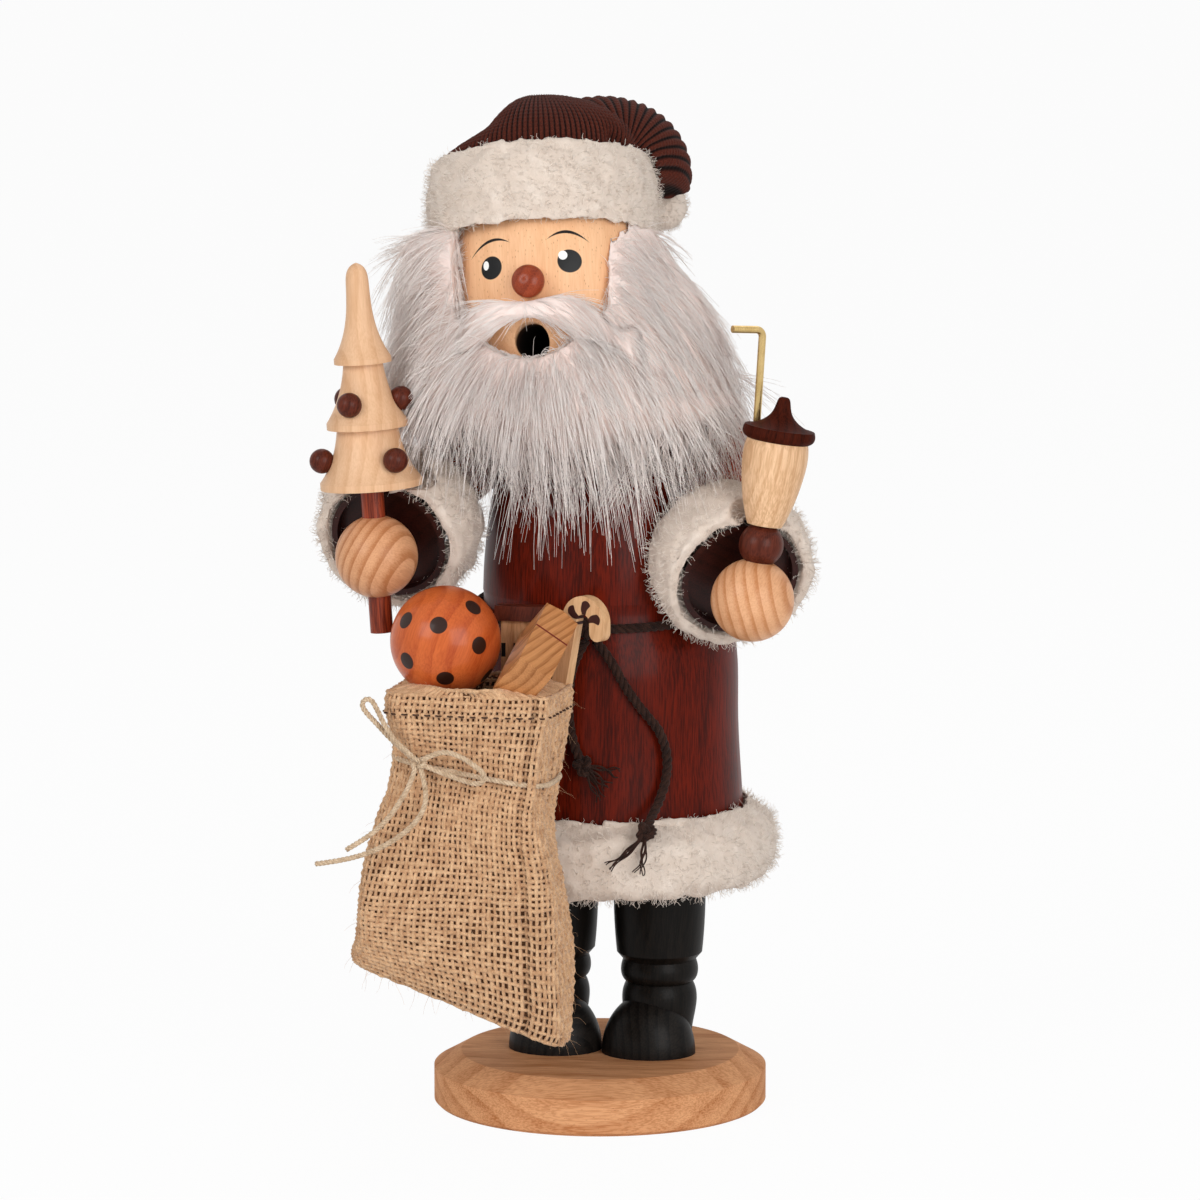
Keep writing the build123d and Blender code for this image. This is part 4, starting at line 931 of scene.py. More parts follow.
hook_middle, hook_across = (7.6, -52.6, 167.7), (0.906, -0.423, 0.0)
cane_wood = wood(
    "candy cane", colour(226, 184, 140), colour(196, 148, 104), colour(150, 104, 68),
    (hook_middle, (0.1, 0, 1)),
    rough=0.42, coat=0.05, ring_width=3.0, rings=0.3, fibres=0.4, flecks=0.2,
)
tree = cane_wood.node_tree
hook = own_axes(tree, hook_middle, (0, 0, 1), hook_across)
angle = maths(tree, "ARCTAN2", hook["Z"], hook["X"])
in_plane = put(tree, "ShaderNodeCombineXYZ", {0: hook["X"], 1: hook["Z"]}).outputs[0]
reach = vectors(tree, "LENGTH", in_plane, out=1)
ripple = maths(tree, "MULTIPLY", maths(tree, "SINE", maths(tree, "MULTIPLY", reach, 1.2)), 0.06)
stripes = maths(tree, "SINE", maths(tree, "MULTIPLY", maths(tree, "ADD", angle, ripple), 5.6))
upper_hook = rise(tree, hook["Z"], -1.4, -1.0)
lobes = maths(tree, "SUBTRACT", stripes, maths(tree, "MULTIPLY", rise(tree, reach, 6.2, 7.6), 1.3))
paint(cane_wood, maths(tree, "MULTIPLY", rise(tree, lobes, -0.1, 0.05), upper_hook), colour(58, 30, 26), 0.45)
finish(cane_wood, "candy_cane")
print("toys:", len(dots), "dots on the ball")

# %% [markdown]
# Two metals: the lantern hangs on a drawn brass rod, which has fine lines along it and a few dull spots, and
# the incense stands on a pressed steel plate inside the coat.

# %% Brass and steel
def metal(name, bright, dull, rough, stretch):
    """Metal with dull patches and fine lines along one direction."""
    material, tree, shader = new_material(name)
    place = measure(tree)
    tarnish = rise(tree, noise(tree, place, 0.12, 2.0), 0.3, 0.8)
    tree.links.new(mixed(tree, tarnish, bright, dull), shader.inputs["Base Color"])
    lines = noise(tree, vectors(tree, "MULTIPLY", place, stretch), 1.0, 3.0)
    roughened(tree, shader, lines, 0.3, 0.7, rough - 0.06, rough + 0.1)
    bumped(tree, shader, lines, 0.12, 0.05)
    shader.inputs["Metallic"].default_value = 1.0
    return material


brass = metal("brass rod", colour(212, 184, 128), colour(180, 148, 90), 0.3, (5.0, 5.0, 0.3))
steel = metal("steel plate", colour(190, 190, 188), colour(120, 116, 110), 0.34, (3.0, 0.3, 3.0))
finish(brass, "lantern_rod")
finish(steel, "cone_plate")
print("brass and steel")

# %% [markdown]
# Fur and hair are thousands of strands on a soft body. Geometry Nodes scatter them: a tree takes the body as
# its mesh, puts points on it, stands one short curve on each point and turns the curves into thin tubes. The
# tree is run once and its result kept as a plain mesh, because the shared file holds no modifiers.


# %% Running a geometry tree, and soft bodies from the solids
def grown(name, mesh, tree, **values):
    """Runs a geometry tree on a mesh; gives the result as a plain object."""
    made = bpy.data.objects.new(name, mesh)
    modifier = made.modifiers.new(tree.name, "NODES")
    modifier.node_group = tree
    wanted = {word.replace("_", " ").title(): value for word, value in values.items()}
    for item in tree.interface.items_tree:
        if item.in_out == "INPUT" and item.name in wanted:
            modifier[item.identifier] = wanted[item.name]
    scene.collection.objects.link(made)
    settled = made.evaluated_get(bpy.context.evaluated_depsgraph_get())
    result = bpy.data.meshes.new_from_object(settled)
    made.modifiers.clear()
    made.data = result
    return made


def soft_body(node, voxel, inset, rounds=3):
    """An even mesh of a solid, drawn in by an inset, with its places and normals as arrays."""
    shell = bmesh.new()
    shell.from_mesh(nodes[node].data)
    bmesh.ops.remove_doubles(shell, verts=shell.verts, dist=1e-6)
    mesh = bpy.data.meshes.new(node + " body")
    shell.to_mesh(mesh)
    shell.free()
    holder = bpy.data.objects.new(node + " body", mesh)
    remesh = holder.modifiers.new("even", "REMESH")
    remesh.mode = "VOXEL"
    remesh.voxel_size = voxel * mm
    relax = holder.modifiers.new("relax", "SMOOTH")
    relax.factor = 0.5
    relax.iterations = rounds
    scene.collection.objects.link(holder)
    settled = holder.evaluated_get(bpy.context.evaluated_depsgraph_get())
    even = bpy.data.meshes.new_from_object(settled)
    bpy.data.objects.remove(holder)
    even.shade_smooth()
    places = np.array([vertex.co[:] for vertex in even.vertices])
    normals = np.array([vertex.normal[:] for vertex in even.vertices])
    places = places - normals * inset * mm
    even.vertices.foreach_set("co", places.ravel())
    even.update()
    return even, places, normals


def note(mesh, name, kind, values):
    """Stores a value for each point of a mesh."""
    made = mesh.attributes.new(name, kind, "POINT")
    made.data.foreach_set("vector" if kind == "FLOAT_VECTOR" else "value", np.asarray(values, float).ravel())


def stored(tree, name, kind="FLOAT"):
    """Reads a stored value in a geometry tree."""
    return put(tree, "GeometryNodeInputNamedAttribute", {"Name": name}, data_type=kind).outputs[0]


def store(tree, geometry, name, value, kind="FLOAT", domain="POINT"):
    """Stores a value in a geometry tree."""
    inputs = {"Geometry": geometry, "Name": name, "Value": value}
    return put(tree, "GeometryNodeStoreNamedAttribute", inputs, data_type=kind, domain=domain).outputs[0]


def chance(tree, low, high, seed):
    """A random number for each point."""
    return put(tree, "FunctionNodeRandomValue", {2: low, 3: high, "Seed": seed}, data_type="FLOAT").outputs[1]


def spun(tree, curves, radius, taper):
    """Thin three-sided tubes along curves, thinner towards their tips."""
    along = put(tree, "GeometryNodeSplineParameter").outputs["Factor"]
    curves = store(tree, curves, "along", along)
    profile = put(tree, "GeometryNodeCurvePrimitiveCircle", {"Resolution": 3, "Radius": radius}).outputs[0]
    thickness = rise(tree, along, 0.0, 1.0, 1.0, taper)
    inputs = {"Curve": curves, "Profile Curve": profile, "Scale": thickness, "Fill Caps": True}
    return put(tree, "GeometryNodeCurveToMesh", inputs).outputs[0]


def finished(tree, parts, material, result):
    """Joins parts, makes them real and gives them their material."""
    join = put(tree, "GeometryNodeJoinGeometry")
    for part in parts:
        tree.links.new(part, join.inputs[0])
    smooth = put(tree, "GeometryNodeSetShadeSmooth", {"Geometry": join.outputs[0]}).outputs[0]
    real = put(tree, "GeometryNodeRealizeInstances", {"Geometry": smooth}).outputs[0]
    painted = put(tree, "GeometryNodeSetMaterial", {"Geometry": real, "Material": material}).outputs[0]
    tree.links.new(painted, result)


print("strand helpers ready")

# %% Strand colour group, with painted shade
strand_tint_and_shade, given, result = group(
    "Strand tint and painted shade",
    "ShaderNodeTree",
    [
        ("Vector", "NodeSocketVector", None),
        ("Along", "NodeSocketFloat", 0.5),
        ("Shade", "NodeSocketFloat", 0.5),
        ("Shaded Root", "NodeSocketColor", (0.5, 0.5, 0.5, 1)),
        ("Tip", "NodeSocketColor", (0.9, 0.9, 0.9, 1)),
        ("Lock Size", "NodeSocketFloat", 4.0),
    ],
    [("Color", "NodeSocketColor")],
)
# Painted shade: the colour runs from the root colour, at the strands' roots and in patches between the locks,
# to the tip colour; the random shade of each strand is its own tone.
locks = noise(strand_tint_and_shade, given["Vector"], maths(strand_tint_and_shade, "DIVIDE", 1.0, given["Lock Size"]), 3.0)
light = maths(strand_tint_and_shade, "MULTIPLY_ADD", given["Along"], 0.55, maths(strand_tint_and_shade, "MULTIPLY", locks, 0.75))
light = maths(strand_tint_and_shade, "ADD", light, maths(strand_tint_and_shade, "MULTIPLY", given["Shade"], 0.25))
out_of_shade = rise(strand_tint_and_shade, light, 0.25, 0.95)
strand_tint_and_shade.links.new(mixed(strand_tint_and_shade, out_of_shade, given["Shaded Root"], given["Tip"]), result["Color"])


def strands_of(name, root, tip, lock_size, rough=0.65, sheen=0.25):
    """Material of fur or hair, with painted shade: darker at the root and between the locks, where the
    strands shade each other.
    """
    material, tree, shader = new_material(name)
    inputs = {"Vector": measure(tree), "Shaded Root": root, "Tip": tip, "Lock Size": lock_size}
    for word in ("along", "shade"):
        inputs[word.title()] = put(tree, "ShaderNodeAttribute", attribute_name=word).outputs["Fac"]
    look = put(tree, "ShaderNodeGroup", inputs, node_tree=strand_tint_and_shade)
    tree.links.new(look.outputs[0], shader.inputs["Base Color"])
    fine = noise(tree, measure(tree), 2.5, 4.0)
    roughened(tree, shader, fine, 0.2, 0.8, rough - 0.1, rough + 0.1)
    bumped(tree, shader, fine, 0.6, 0.5)
    soft_gloss(shader, 0.15, sheen, 0.4)
    return material


# The root colours are painted shade, for the shade deep in the fur.
lambskin = strands_of("lambskin plush", colour(222, 206, 192), colour(248, 237, 226), 5.0)
white_hair = strands_of("beard fibre", colour(250, 230, 222), colour(255, 247, 242), 5.0, 0.65, 0.5)
print("fur materials ready")

# %% [markdown]
# Lambskin plush is short and curly. Its body is first pushed in and out in soft lumps; then a small open
# curl stands on every point. Neighbouring curls lean the same way, which makes the locks.

# %% Fleece tree
fleece, given, result = group(
    "Fleece",
    "GeometryNodeTree",
    [
        ("Geometry", "NodeSocketGeometry", None),
        ("Lump Size", "NodeSocketFloat", 0.005),
        ("Lump Height", "NodeSocketFloat", 0.002),
        ("Density", "NodeSocketFloat", 400000.0),
        ("Curl Length", "NodeSocketFloat", 0.002),
        ("Curl Width", "NodeSocketFloat", 0.0008),
        ("Strand Radius", "NodeSocketFloat", 0.00012),
        ("Lean", "NodeSocketFloat", 2.2),
        ("Seed", "NodeSocketInt", 1),
        ("Material", "NodeSocketMaterial", None),
    ],
    [("Geometry", "NodeSocketGeometry")],
)
where = put(fleece, "GeometryNodeInputPosition").outputs[0]
outwards = put(fleece, "GeometryNodeInputNormal").outputs[0]
fineness = maths(fleece, "DIVIDE", 1.0, given["Lump Size"])
lump = maths(fleece, "SUBTRACT", noise(fleece, where, fineness), 0.5)
lump = maths(fleece, "MULTIPLY", lump, given["Lump Height"])
inputs = {"Geometry": given["Geometry"], "Offset": scaled(fleece, outwards, lump)}
skin = put(fleece, "GeometryNodeSetPosition", inputs).outputs[0]
inputs = {"Mesh": skin, "Density": given["Density"], "Seed": given["Seed"]}
scattered = put(fleece, "GeometryNodeDistributePointsOnFaces", inputs).outputs
lean_noise = noise(fleece, where, maths(fleece, "MULTIPLY", fineness, 1.4), 2.0, "Color")
lean = scaled(fleece, vectors(fleece, "SUBTRACT", lean_noise, (0.5, 0.5, 0.5)), given["Lean"])
heading = vectors(fleece, "ADD", scattered["Normal"], lean)
upright = put(fleece, "FunctionNodeAlignRotationToVector", {"Vector": heading}, axis="Z").outputs[0]
inputs = {0: (-0.5, -0.5, 0.0), 1: (0.5, 0.5, 6.283), "Seed": given["Seed"]}
spin = put(fleece, "FunctionNodeRandomValue", inputs, data_type="FLOAT_VECTOR").outputs[0]
spin = put(fleece, "FunctionNodeEulerToRotation", {0: spin}).outputs[0]
inputs = {"Rotation": upright, "Rotate By": spin}
turned = put(fleece, "FunctionNodeRotateRotation", inputs, rotation_space="LOCAL").outputs[0]
inputs = {
    "Resolution": 5,
    "Rotations": 0.7,
    "Start Radius": maths(fleece, "MULTIPLY", given["Curl Width"], 0.2),
    "End Radius": given["Curl Width"],
    "Height": given["Curl Length"],
}
curl = put(fleece, "GeometryNodeCurveSpiral", inputs).outputs[0]
curl_size = chance(fleece, 0.6, 1.25, 7)
inputs = {"Points": scattered["Points"], "Instance": curl, "Rotation": turned, "Scale": curl_size}
curls = put(fleece, "GeometryNodeInstanceOnPoints", inputs).outputs[0]
curls = store(fleece, curls, "shade", chance(fleece, 0.0, 1.0, 9), domain="INSTANCE")
curls = put(fleece, "GeometryNodeRealizeInstances", {"Geometry": curls}).outputs[0]
finished(fleece, [skin, spun(fleece, curls, given["Strand Radius"], 0.5)], given["Material"], result[0])


def plush_piece(name, node, body, density, seed, voxel=1.5, inset=1.5, lump=4.0, curl_length=2.5):
    """Lambskin plush that stands for a solid."""
    piece = grown(
        name, soft_body(node, voxel, inset)[0], fleece,
        lump_size=7 * mm, lump_height=lump * mm, density=density, curl_length=curl_length * mm,
        curl_width=0.6 * mm, strand_radius=0.1 * mm, lean=3.2, seed=seed, material=lambskin,
    )
    return dress(piece, lambskin, body, "plush", node)


plush_piece("hem_plush", "hem_fur", "base", 360000, seed=2)
plush_piece("cuff_left_plush", "cuff_left", "top", 420000, seed=3)
plush_piece("cuff_right_plush", "cuff_right", "top", 420000, seed=4)
plush_piece("hat_band_plush", "hat_band", "top", 420000, seed=5)
plush_piece("pompom_plush", "pompom", "top", 600000, voxel=1.0, inset=0.9, lump=0.9, seed=6, curl_length=1.5)

# %% [markdown]
# Beard, moustache and hair are long straight fibre. Each point of the body stores which way the fibre flows:
# away from the face, then down. Every strand starts along that flow, bends down under its weight, and is
# drawn towards the middle of its tuft, so that the locks split as they do on the real beard. The body's
# lower part is shortened, so that loose strands hang past it, and a finer fringe grows round the face.

# %% Long hair tree
hair_tree, given, result = group(
    "Long hair",
    "GeometryNodeTree",
    [
        ("Geometry", "NodeSocketGeometry", None),
        ("Density", "NodeSocketFloat", 100000.0),
        ("Length", "NodeSocketFloat", 0.03),
        ("Strand Radius", "NodeSocketFloat", 0.00013),
        ("Droop", "NodeSocketFloat", 0.5),
        ("Tuft Size", "NodeSocketFloat", 0.006),
        ("Tuft Pull", "NodeSocketFloat", 0.7),
        ("Waves", "NodeSocketFloat", 0.004),
        ("Steps", "NodeSocketInt", 7),
        ("Seed", "NodeSocketInt", 1),
        ("Material", "NodeSocketMaterial", None),
    ],
    [("Geometry", "NodeSocketGeometry")],
)
inputs = {
    "Mesh": given["Geometry"],
    "Density": maths(hair_tree, "MULTIPLY", given["Density"], stored(hair_tree, "thick")),
    "Seed": given["Seed"],
}
roots = put(hair_tree, "GeometryNodeDistributePointsOnFaces", inputs).outputs["Points"]
here = put(hair_tree, "GeometryNodeInputPosition").outputs[0]
roots = store(hair_tree, roots, "root", here, "FLOAT_VECTOR")
roots = store(hair_tree, roots, "shade", chance(hair_tree, 0.0, 1.0, 5))
size = maths(hair_tree, "MULTIPLY", stored(hair_tree, "long"), chance(hair_tree, 0.6, 1.15, 6))
roots = store(hair_tree, roots, "size", size)
line = put(hair_tree, "GeometryNodeCurvePrimitiveLine", {"Start": (0, 0, 0), "End": (0, 0, mm)}).outputs[0]
line = put(hair_tree, "GeometryNodeResampleCurve", {"Curve": line, "Count": given["Steps"]}).outputs[0]
strands = put(hair_tree, "GeometryNodeInstanceOnPoints", {"Points": roots, "Instance": line}).outputs[0]
strands = put(hair_tree, "GeometryNodeRealizeInstances", {"Geometry": strands}).outputs[0]
share = put(hair_tree, "GeometryNodeSplineParameter").outputs["Factor"]
root = stored(hair_tree, "root", "FLOAT_VECTOR")
full = maths(hair_tree, "MULTIPLY", stored(hair_tree, "size"), given["Length"])
reach = maths(hair_tree, "MULTIPLY", full, share)
fall = maths(hair_tree, "MULTIPLY", maths(hair_tree, "MULTIPLY", reach, share), given["Droop"])
path = vectors(hair_tree, "ADD", root, scaled(hair_tree, stored(hair_tree, "flow", "FLOAT_VECTOR"), reach))
path = vectors(hair_tree, "SUBTRACT", path, scaled(hair_tree, (0.0, 0.0, 1.0), fall))
inputs = {"Vector": root, "Scale": maths(hair_tree, "DIVIDE", 1.0, given["Tuft Size"])}
tuft = put(hair_tree, "ShaderNodeTexVoronoi", inputs).outputs["Position"]
pull = maths(hair_tree, "MULTIPLY", maths(hair_tree, "POWER", share, 1.5), given["Tuft Pull"])
path = vectors(hair_tree, "ADD", path, scaled(hair_tree, vectors(hair_tree, "SUBTRACT", tuft, root), pull))
drift = vectors(hair_tree, "ADD", scaled(hair_tree, root, 130.0), scaled(hair_tree, here, 900.0))
wave = vectors(hair_tree, "SUBTRACT", noise(hair_tree, drift, 1.0, 2.0, "Color"), (0.5, 0.5, 0.5))
sway = maths(hair_tree, "MULTIPLY", share, given["Waves"])
path = vectors(hair_tree, "ADD", path, scaled(hair_tree, wave, sway))
strands = put(hair_tree, "GeometryNodeSetPosition", {"Geometry": strands, "Position": path}).outputs[0]
finished(hair_tree, [spun(hair_tree, strands, given["Strand Radius"], 0.35)], given["Material"], result[0])
print("hair tree has", len(hair_tree.nodes), "nodes")


# %% Beard, hair and moustache bodies
def unit(rows):
    """Rows of vectors, each at length 1."""
    return rows / np.maximum(np.linalg.norm(rows, axis=1), 1e-9)[:, None]


def combed(mesh, normals, flow, lift, long, thick):
    """Stores how the fibre grows on a body: along the surface, with a little lift off it."""
    flow = unit(flow)
    flow = unit(flow - normals * (flow * normals).sum(axis=1)[:, None]) + normals * lift
    note(mesh, "flow", "FLOAT_VECTOR", unit(flow))
    note(mesh, "long", "FLOAT", long)
    note(mesh, "thick", "FLOAT", thick)


face_middle = np.array((-12.6, -46.0, 268.0)) * mm
band_middle = np.array((-17.6, -7.0, 299.0)) * mm
left_temple = np.array((14.5, -26.0, 287.0)) * mm
# Metres: how far each rule below reaches, at the hem, under the band, at the temple and round the face.
hem_reach, band_start, band_blend, temple_reach = 0.012, 0.026, 0.010, 0.008
face_reach, fringe_reach = 0.030, 0.029
# Millimetres: how far the body is drawn in at the hem, and raised under the band and at the temple.
hem_inset, band_raise, temple_raise = 1.6, 3.6, 4.5
clear_of_head = 0.6
# How strongly the fibre is pushed off the face and off the crown, and how steeply it may rise.
face_push, crown_push, steepest_rise = 2.2, 2.5, 0.12
# Metres: the height above which the fibre gets shorter, and over which it does so.
short_above, short_over = 0.215, 0.06


def off_the_head(places):
    """The places, with those that sank into the head's surface set just clear of it."""
    solid = bmesh.new()
    solid.from_mesh(nodes["head"].data)
    near_head = BVHTree.FromBMesh(solid)
    solid.free()
    moved = places.copy()
    for index, place in enumerate(places):
        surface, out = near_head.find_nearest(place, 4 * mm)[:2]
        if surface is not None and (Vector(place) - surface).dot(out) < clear_of_head * mm:
            moved[index] = surface + out * clear_of_head * mm
    return moved


def mane_body(node, inset, knee, bottom):
    """Body of beard or hair, with its flow; its lower part is shortened, for the strands to hang past it."""
    mesh, places, normals = soft_body(node, 1.1, inset, 4)
    floor_z = places[:, 2].min()
    low = places[:, 2] < knee
    places[low, 2] = knee - (knee - places[low, 2]) * (knee - bottom) / (knee - floor_z)
    hem = np.clip((bottom + hem_reach - places[:, 2]) / hem_reach, 0, 1)
    places = places - normals * (hem_inset * mm * hem)[:, None]
    under_band = np.clip(((places - band_middle) @ np.array(head_up) + band_start) / band_blend, 0, 1)
    temple = np.exp(-((np.linalg.norm(places - left_temple, axis=1) / temple_reach) ** 2))
    places = places + ((band_raise * under_band + temple_raise * temple) * mm)[:, None] * np.array(head_up)
    places = off_the_head(places)
    mesh.vertices.foreach_set("co", places.ravel())
    mesh.update()
    normals = np.array([vertex.normal[:] for vertex in mesh.vertices])
    away = places - face_middle
    near = np.exp(-np.linalg.norm(away, axis=1) / face_reach)[:, None]
    flow = unit(away) * near * face_push + np.array((0, 0, -1.0)) * (1 - near)
    flow[:, 2] = np.minimum(flow[:, 2], steepest_rise)
    radial = unit((places - np.array(head_origin) * mm) * (1, 1, 0))
    upward = np.clip(normals[:, 2], 0, 1)
    flow = flow + radial * (crown_push * upward)[:, None]
    high = np.clip((places[:, 2] - short_above) / short_over, 0, 1)
    long = (1.0 - 0.25 * high) * (1 - 0.35 * upward)
    combed(mesh, normals, flow, 0.2, long, np.ones(len(places)))
    return mesh


def hair_piece(name, piece, node):
    """Dresses strands, or a body given as its mesh, in the white fibre."""
    if isinstance(piece, bpy.types.Mesh):
        piece = bpy.data.objects.new(name, piece)
        scene.collection.objects.link(piece)
    dress(piece, white_hair, "top", "beard_fibre", node)


print("the head is kept clear by", clear_of_head, "mm")

# %% Beard and its fringe
beard_mesh = mane_body("beard", 0.4, 0.240, 0.221)
for word, seed, radius in (("under", 11, 0.15), ("over", 12, 0.12)):
    locks = grown(
        "beard_locks_" + word, beard_mesh.copy(), hair_tree,
        density=165000.0, length=29 * mm, strand_radius=radius * mm, droop=0.35, tuft_size=6.5 * mm,
        tuft_pull=0.75, waves=5 * mm, seed=seed, material=white_hair,
    )
    hair_piece(locks.name, locks, "beard")
fringe_mesh = beard_mesh.copy()
places = np.array([vertex.co[:] for vertex in fringe_mesh.vertices])
normals = np.array([vertex.normal[:] for vertex in fringe_mesh.vertices])
away = places - face_middle
for word in ("flow", "long", "thick"):
    fringe_mesh.attributes.remove(fringe_mesh.attributes[word])
stray = np.random.default_rng(15).normal(size=places.shape)
round_face = np.clip(2.0 * np.exp(-((np.linalg.norm(away, axis=1) / fringe_reach) ** 2)), 0, 1)
combed(fringe_mesh, normals, unit(away) + stray * 0.45, 0.45, np.ones(len(places)), round_face)
fringe = grown(
    "beard_fringe", fringe_mesh, hair_tree,
    density=1150000.0, length=10 * mm, strand_radius=0.09 * mm, droop=0.4, tuft_size=3 * mm,
    tuft_pull=0.3, waves=3 * mm, steps=5, seed=16, material=white_hair,
)
hair_piece("beard_fringe", fringe, "beard")
hair_piece("beard_body", beard_mesh, "beard")

# %% Hair and moustache
hair_mesh = mane_body("hair", 0.4, 0.262, 0.241)
back_hair = grown(
    "hair_locks", hair_mesh.copy(), hair_tree,
    density=185000.0, length=31 * mm, strand_radius=0.17 * mm, droop=0.3, tuft_size=6.5 * mm,
    tuft_pull=0.75, waves=5 * mm, seed=13, material=white_hair,
)
hair_piece("hair_locks", back_hair, "hair")
hair_piece("hair_body", hair_mesh, "hair")

moustache_mesh, places, normals = soft_body("moustache", 0.9, 0.6)
across_face = places @ np.array(head_across) - np.array(head_origin) @ np.array(head_across) * mm
parting, half_moustache = 0.003, 0.03
side = np.tanh(across_face / parting)
down = -0.25 - 0.5 * np.abs(across_face) / half_moustache
flow = np.stack([side, np.full(len(side), -0.25), down], axis=1)
outer = np.clip(np.abs(across_face) / half_moustache, 0, 1)
combed(moustache_mesh, normals, flow, 0.1, np.clip(0.3 + outer * 2.4, 0.3, 1.0), np.ones(len(side)))
moustache = grown(
    "moustache_locks", moustache_mesh.copy(), hair_tree,
    density=520000.0, length=15 * mm, strand_radius=0.11 * mm, droop=0.25, tuft_size=4.5 * mm,
    tuft_pull=0.6, waves=3 * mm, seed=14, material=white_hair,
)
hair_piece("moustache_locks", moustache, "moustache")
hair_piece("moustache_body", moustache_mesh, "moustache")

# %% [markdown]
# The cap is ribbed knitting, pinched at the side that it hangs down on. It starts as a fine even mesh of its
# solid. On the far side of the pinch the ribs stand upright, counted round the head; on the hanging side
# they fan out from an axis through the pinch, like the ribs of a cockle shell. Each point stores its place
# in ribs, and a tree pushes the mesh in and out by rib and by stitch.

# %% Knitting tree
knitting, given, result = group(
    "Knitting",
    "GeometryNodeTree",
    [
        ("Geometry", "NodeSocketGeometry", None),
        ("Rib Height", "NodeSocketFloat", 0.0005),
        ("Stitch Size", "NodeSocketFloat", 0.0014),
        ("Stitch Height", "NodeSocketFloat", 0.0002),
        ("Material", "NodeSocketMaterial", None),
    ],
    [("Geometry", "NodeSocketGeometry")],
)
full_turn = 2 * math.pi
rib = maths(knitting, "MULTIPLY", stored(knitting, "ribs"), full_turn)
rib = maths(knitting, "MULTIPLY_ADD", maths(knitting, "COSINE", rib), 0.5, 0.5)
column = maths(knitting, "POWER", rib, 0.6)
stitch_place = maths(knitting, "DIVIDE", stored(knitting, "reach"), given["Stitch Size"])
leg = maths(knitting, "MULTIPLY", rib, 0.45)
stitch = maths(knitting, "MULTIPLY", maths(knitting, "ADD", stitch_place, leg), full_turn)
stitch = maths(knitting, "MULTIPLY", maths(knitting, "SINE", stitch), given["Stitch Height"])
raised = maths(knitting, "MULTIPLY_ADD", column, given["Rib Height"], stitch)
raised = maths(knitting, "MULTIPLY", raised, stored(knitting, "knit"))
push = scaled(knitting, put(knitting, "GeometryNodeInputNormal").outputs[0], raised)
inputs = {"Geometry": given["Geometry"], "Offset": push}
knit_skin = put(knitting, "GeometryNodeSetPosition", inputs).outputs[0]
# The rib share is kept for the knit material, which colours the grooves as painted shade.
knit_skin = store(knitting, knit_skin, "rib", rib)
finished(knitting, [knit_skin], given["Material"], result[0])
print("knitting tree has", len(knitting.nodes), "nodes")

# %% Knit material
knit_wool, tree, shader = new_material("knit wool")
rib_read = put(tree, "ShaderNodeAttribute", attribute_name="rib").outputs["Fac"]
yarn = noise(tree, measure(tree), 2.6, 4.0)
yarn_colour = mixed(tree, rise(tree, yarn, 0.3, 0.75), colour(62, 26, 18), colour(96, 44, 32))
# Painted shade: the grooves between the ribs are coloured near black, for the shade in them.
groove_shade = mixed(tree, rise(tree, rib_read, 0.0, 0.55), colour(18, 7, 5), yarn_colour)
tree.links.new(groove_shade, shader.inputs["Base Color"])
roughened(tree, shader, yarn, 0.2, 0.8, 0.8, 0.95)
bumped(tree, shader, yarn, 0.5, 0.3)
soft_gloss(shader, 0.1, 0.05, 0.5)
print("knit wool ready")

# %% Cap
rib_pitch = 1.9 * mm
rim_radius = 36
ribs_in_half_fan = 24
# The crown leans by this many millimetres, from and over these heights and widths in metres.
crown_lean = 13.5
lean_from, lean_rise, lean_width = 0.010, 0.012, 0.040
pinch = np.array((12.2, -15.5, 315.0)) * mm
pinch_line = np.array(((9.7, -19.5, 319.5), (12.0, -15.5, 314.5), (15.0, -9.0, 306.0))) * mm
fan_axis = np.array((0.35, -0.75, 0.55))
fan_axis /= np.linalg.norm(fan_axis)
hat_up, hat_across = np.array(head_up), np.array(head_across)
hat_back = np.cross(hat_up, hat_across)
hat_mesh, places, normals = soft_body("hat_crown", 0.45, 0.0)


def hat_place(places):
    """Places in the cap's own directions: across, back and up, in metres from its middle."""
    away = places - band_middle
    return away @ hat_across, away @ hat_back, away @ hat_up


def smooth_step(value):
    """A share that rises softly from 0 to 1."""
    share = np.clip(value, 0, 1)
    return share * share * (3 - 2 * share)


# The knitted tube leans towards the side that it hangs down on, so its other side slopes.
across, back, high = hat_place(places)
lean_share = smooth_step((high - lean_from) / lean_rise) * smooth_step((lean_from - across) / lean_width)
places = places + (lean_share * crown_lean * mm)[:, None] * hat_across
across, back, high = hat_place(places)
pinch_across, pinch_back = hat_place(pinch[None])[:2]
pinch_turn = math.atan2(pinch_back[0], pinch_across[0])
turn_left = (pinch_turn - np.arctan2(back, across)) % (2 * math.pi)
upright_ribs = turn_left * rim_radius * mm / rib_pitch
away = places - pinch
fan_up = hat_up - fan_axis * np.dot(hat_up, fan_axis)
fan_up /= np.linalg.norm(fan_up)
fan_side = np.cross(fan_up, fan_axis)
fan_turn = np.arctan2(away @ fan_side, away @ fan_up) % (2 * math.pi)
fan_ribs = -fan_turn * ribs_in_half_fan / math.pi
side_plane = across * pinch_back[0] - back * pinch_across[0]
hanging_side = side_plane < 0
ribs = np.where(hanging_side, fan_ribs, upright_ribs)
distance = np.linalg.norm(away - (away @ fan_axis)[:, None] * fan_axis, axis=1)
distance = np.where(hanging_side, distance, np.hypot(across, back))


def from_line(places, points):
    """Distance of each place from a line of points."""
    best = np.full(len(places), 1.0)
    for start, end in zip(points[:-1], points[1:]):
        along = np.clip((places - start) @ (end - start) / np.dot(end - start, end - start), 0, 1)
        best = np.minimum(best, np.linalg.norm(places - start - along[:, None] * (end - start), axis=1))
    return best


groove_width, groove_depth, room_for_ribs = 0.0034, 3.2 * mm, 0.35 * mm
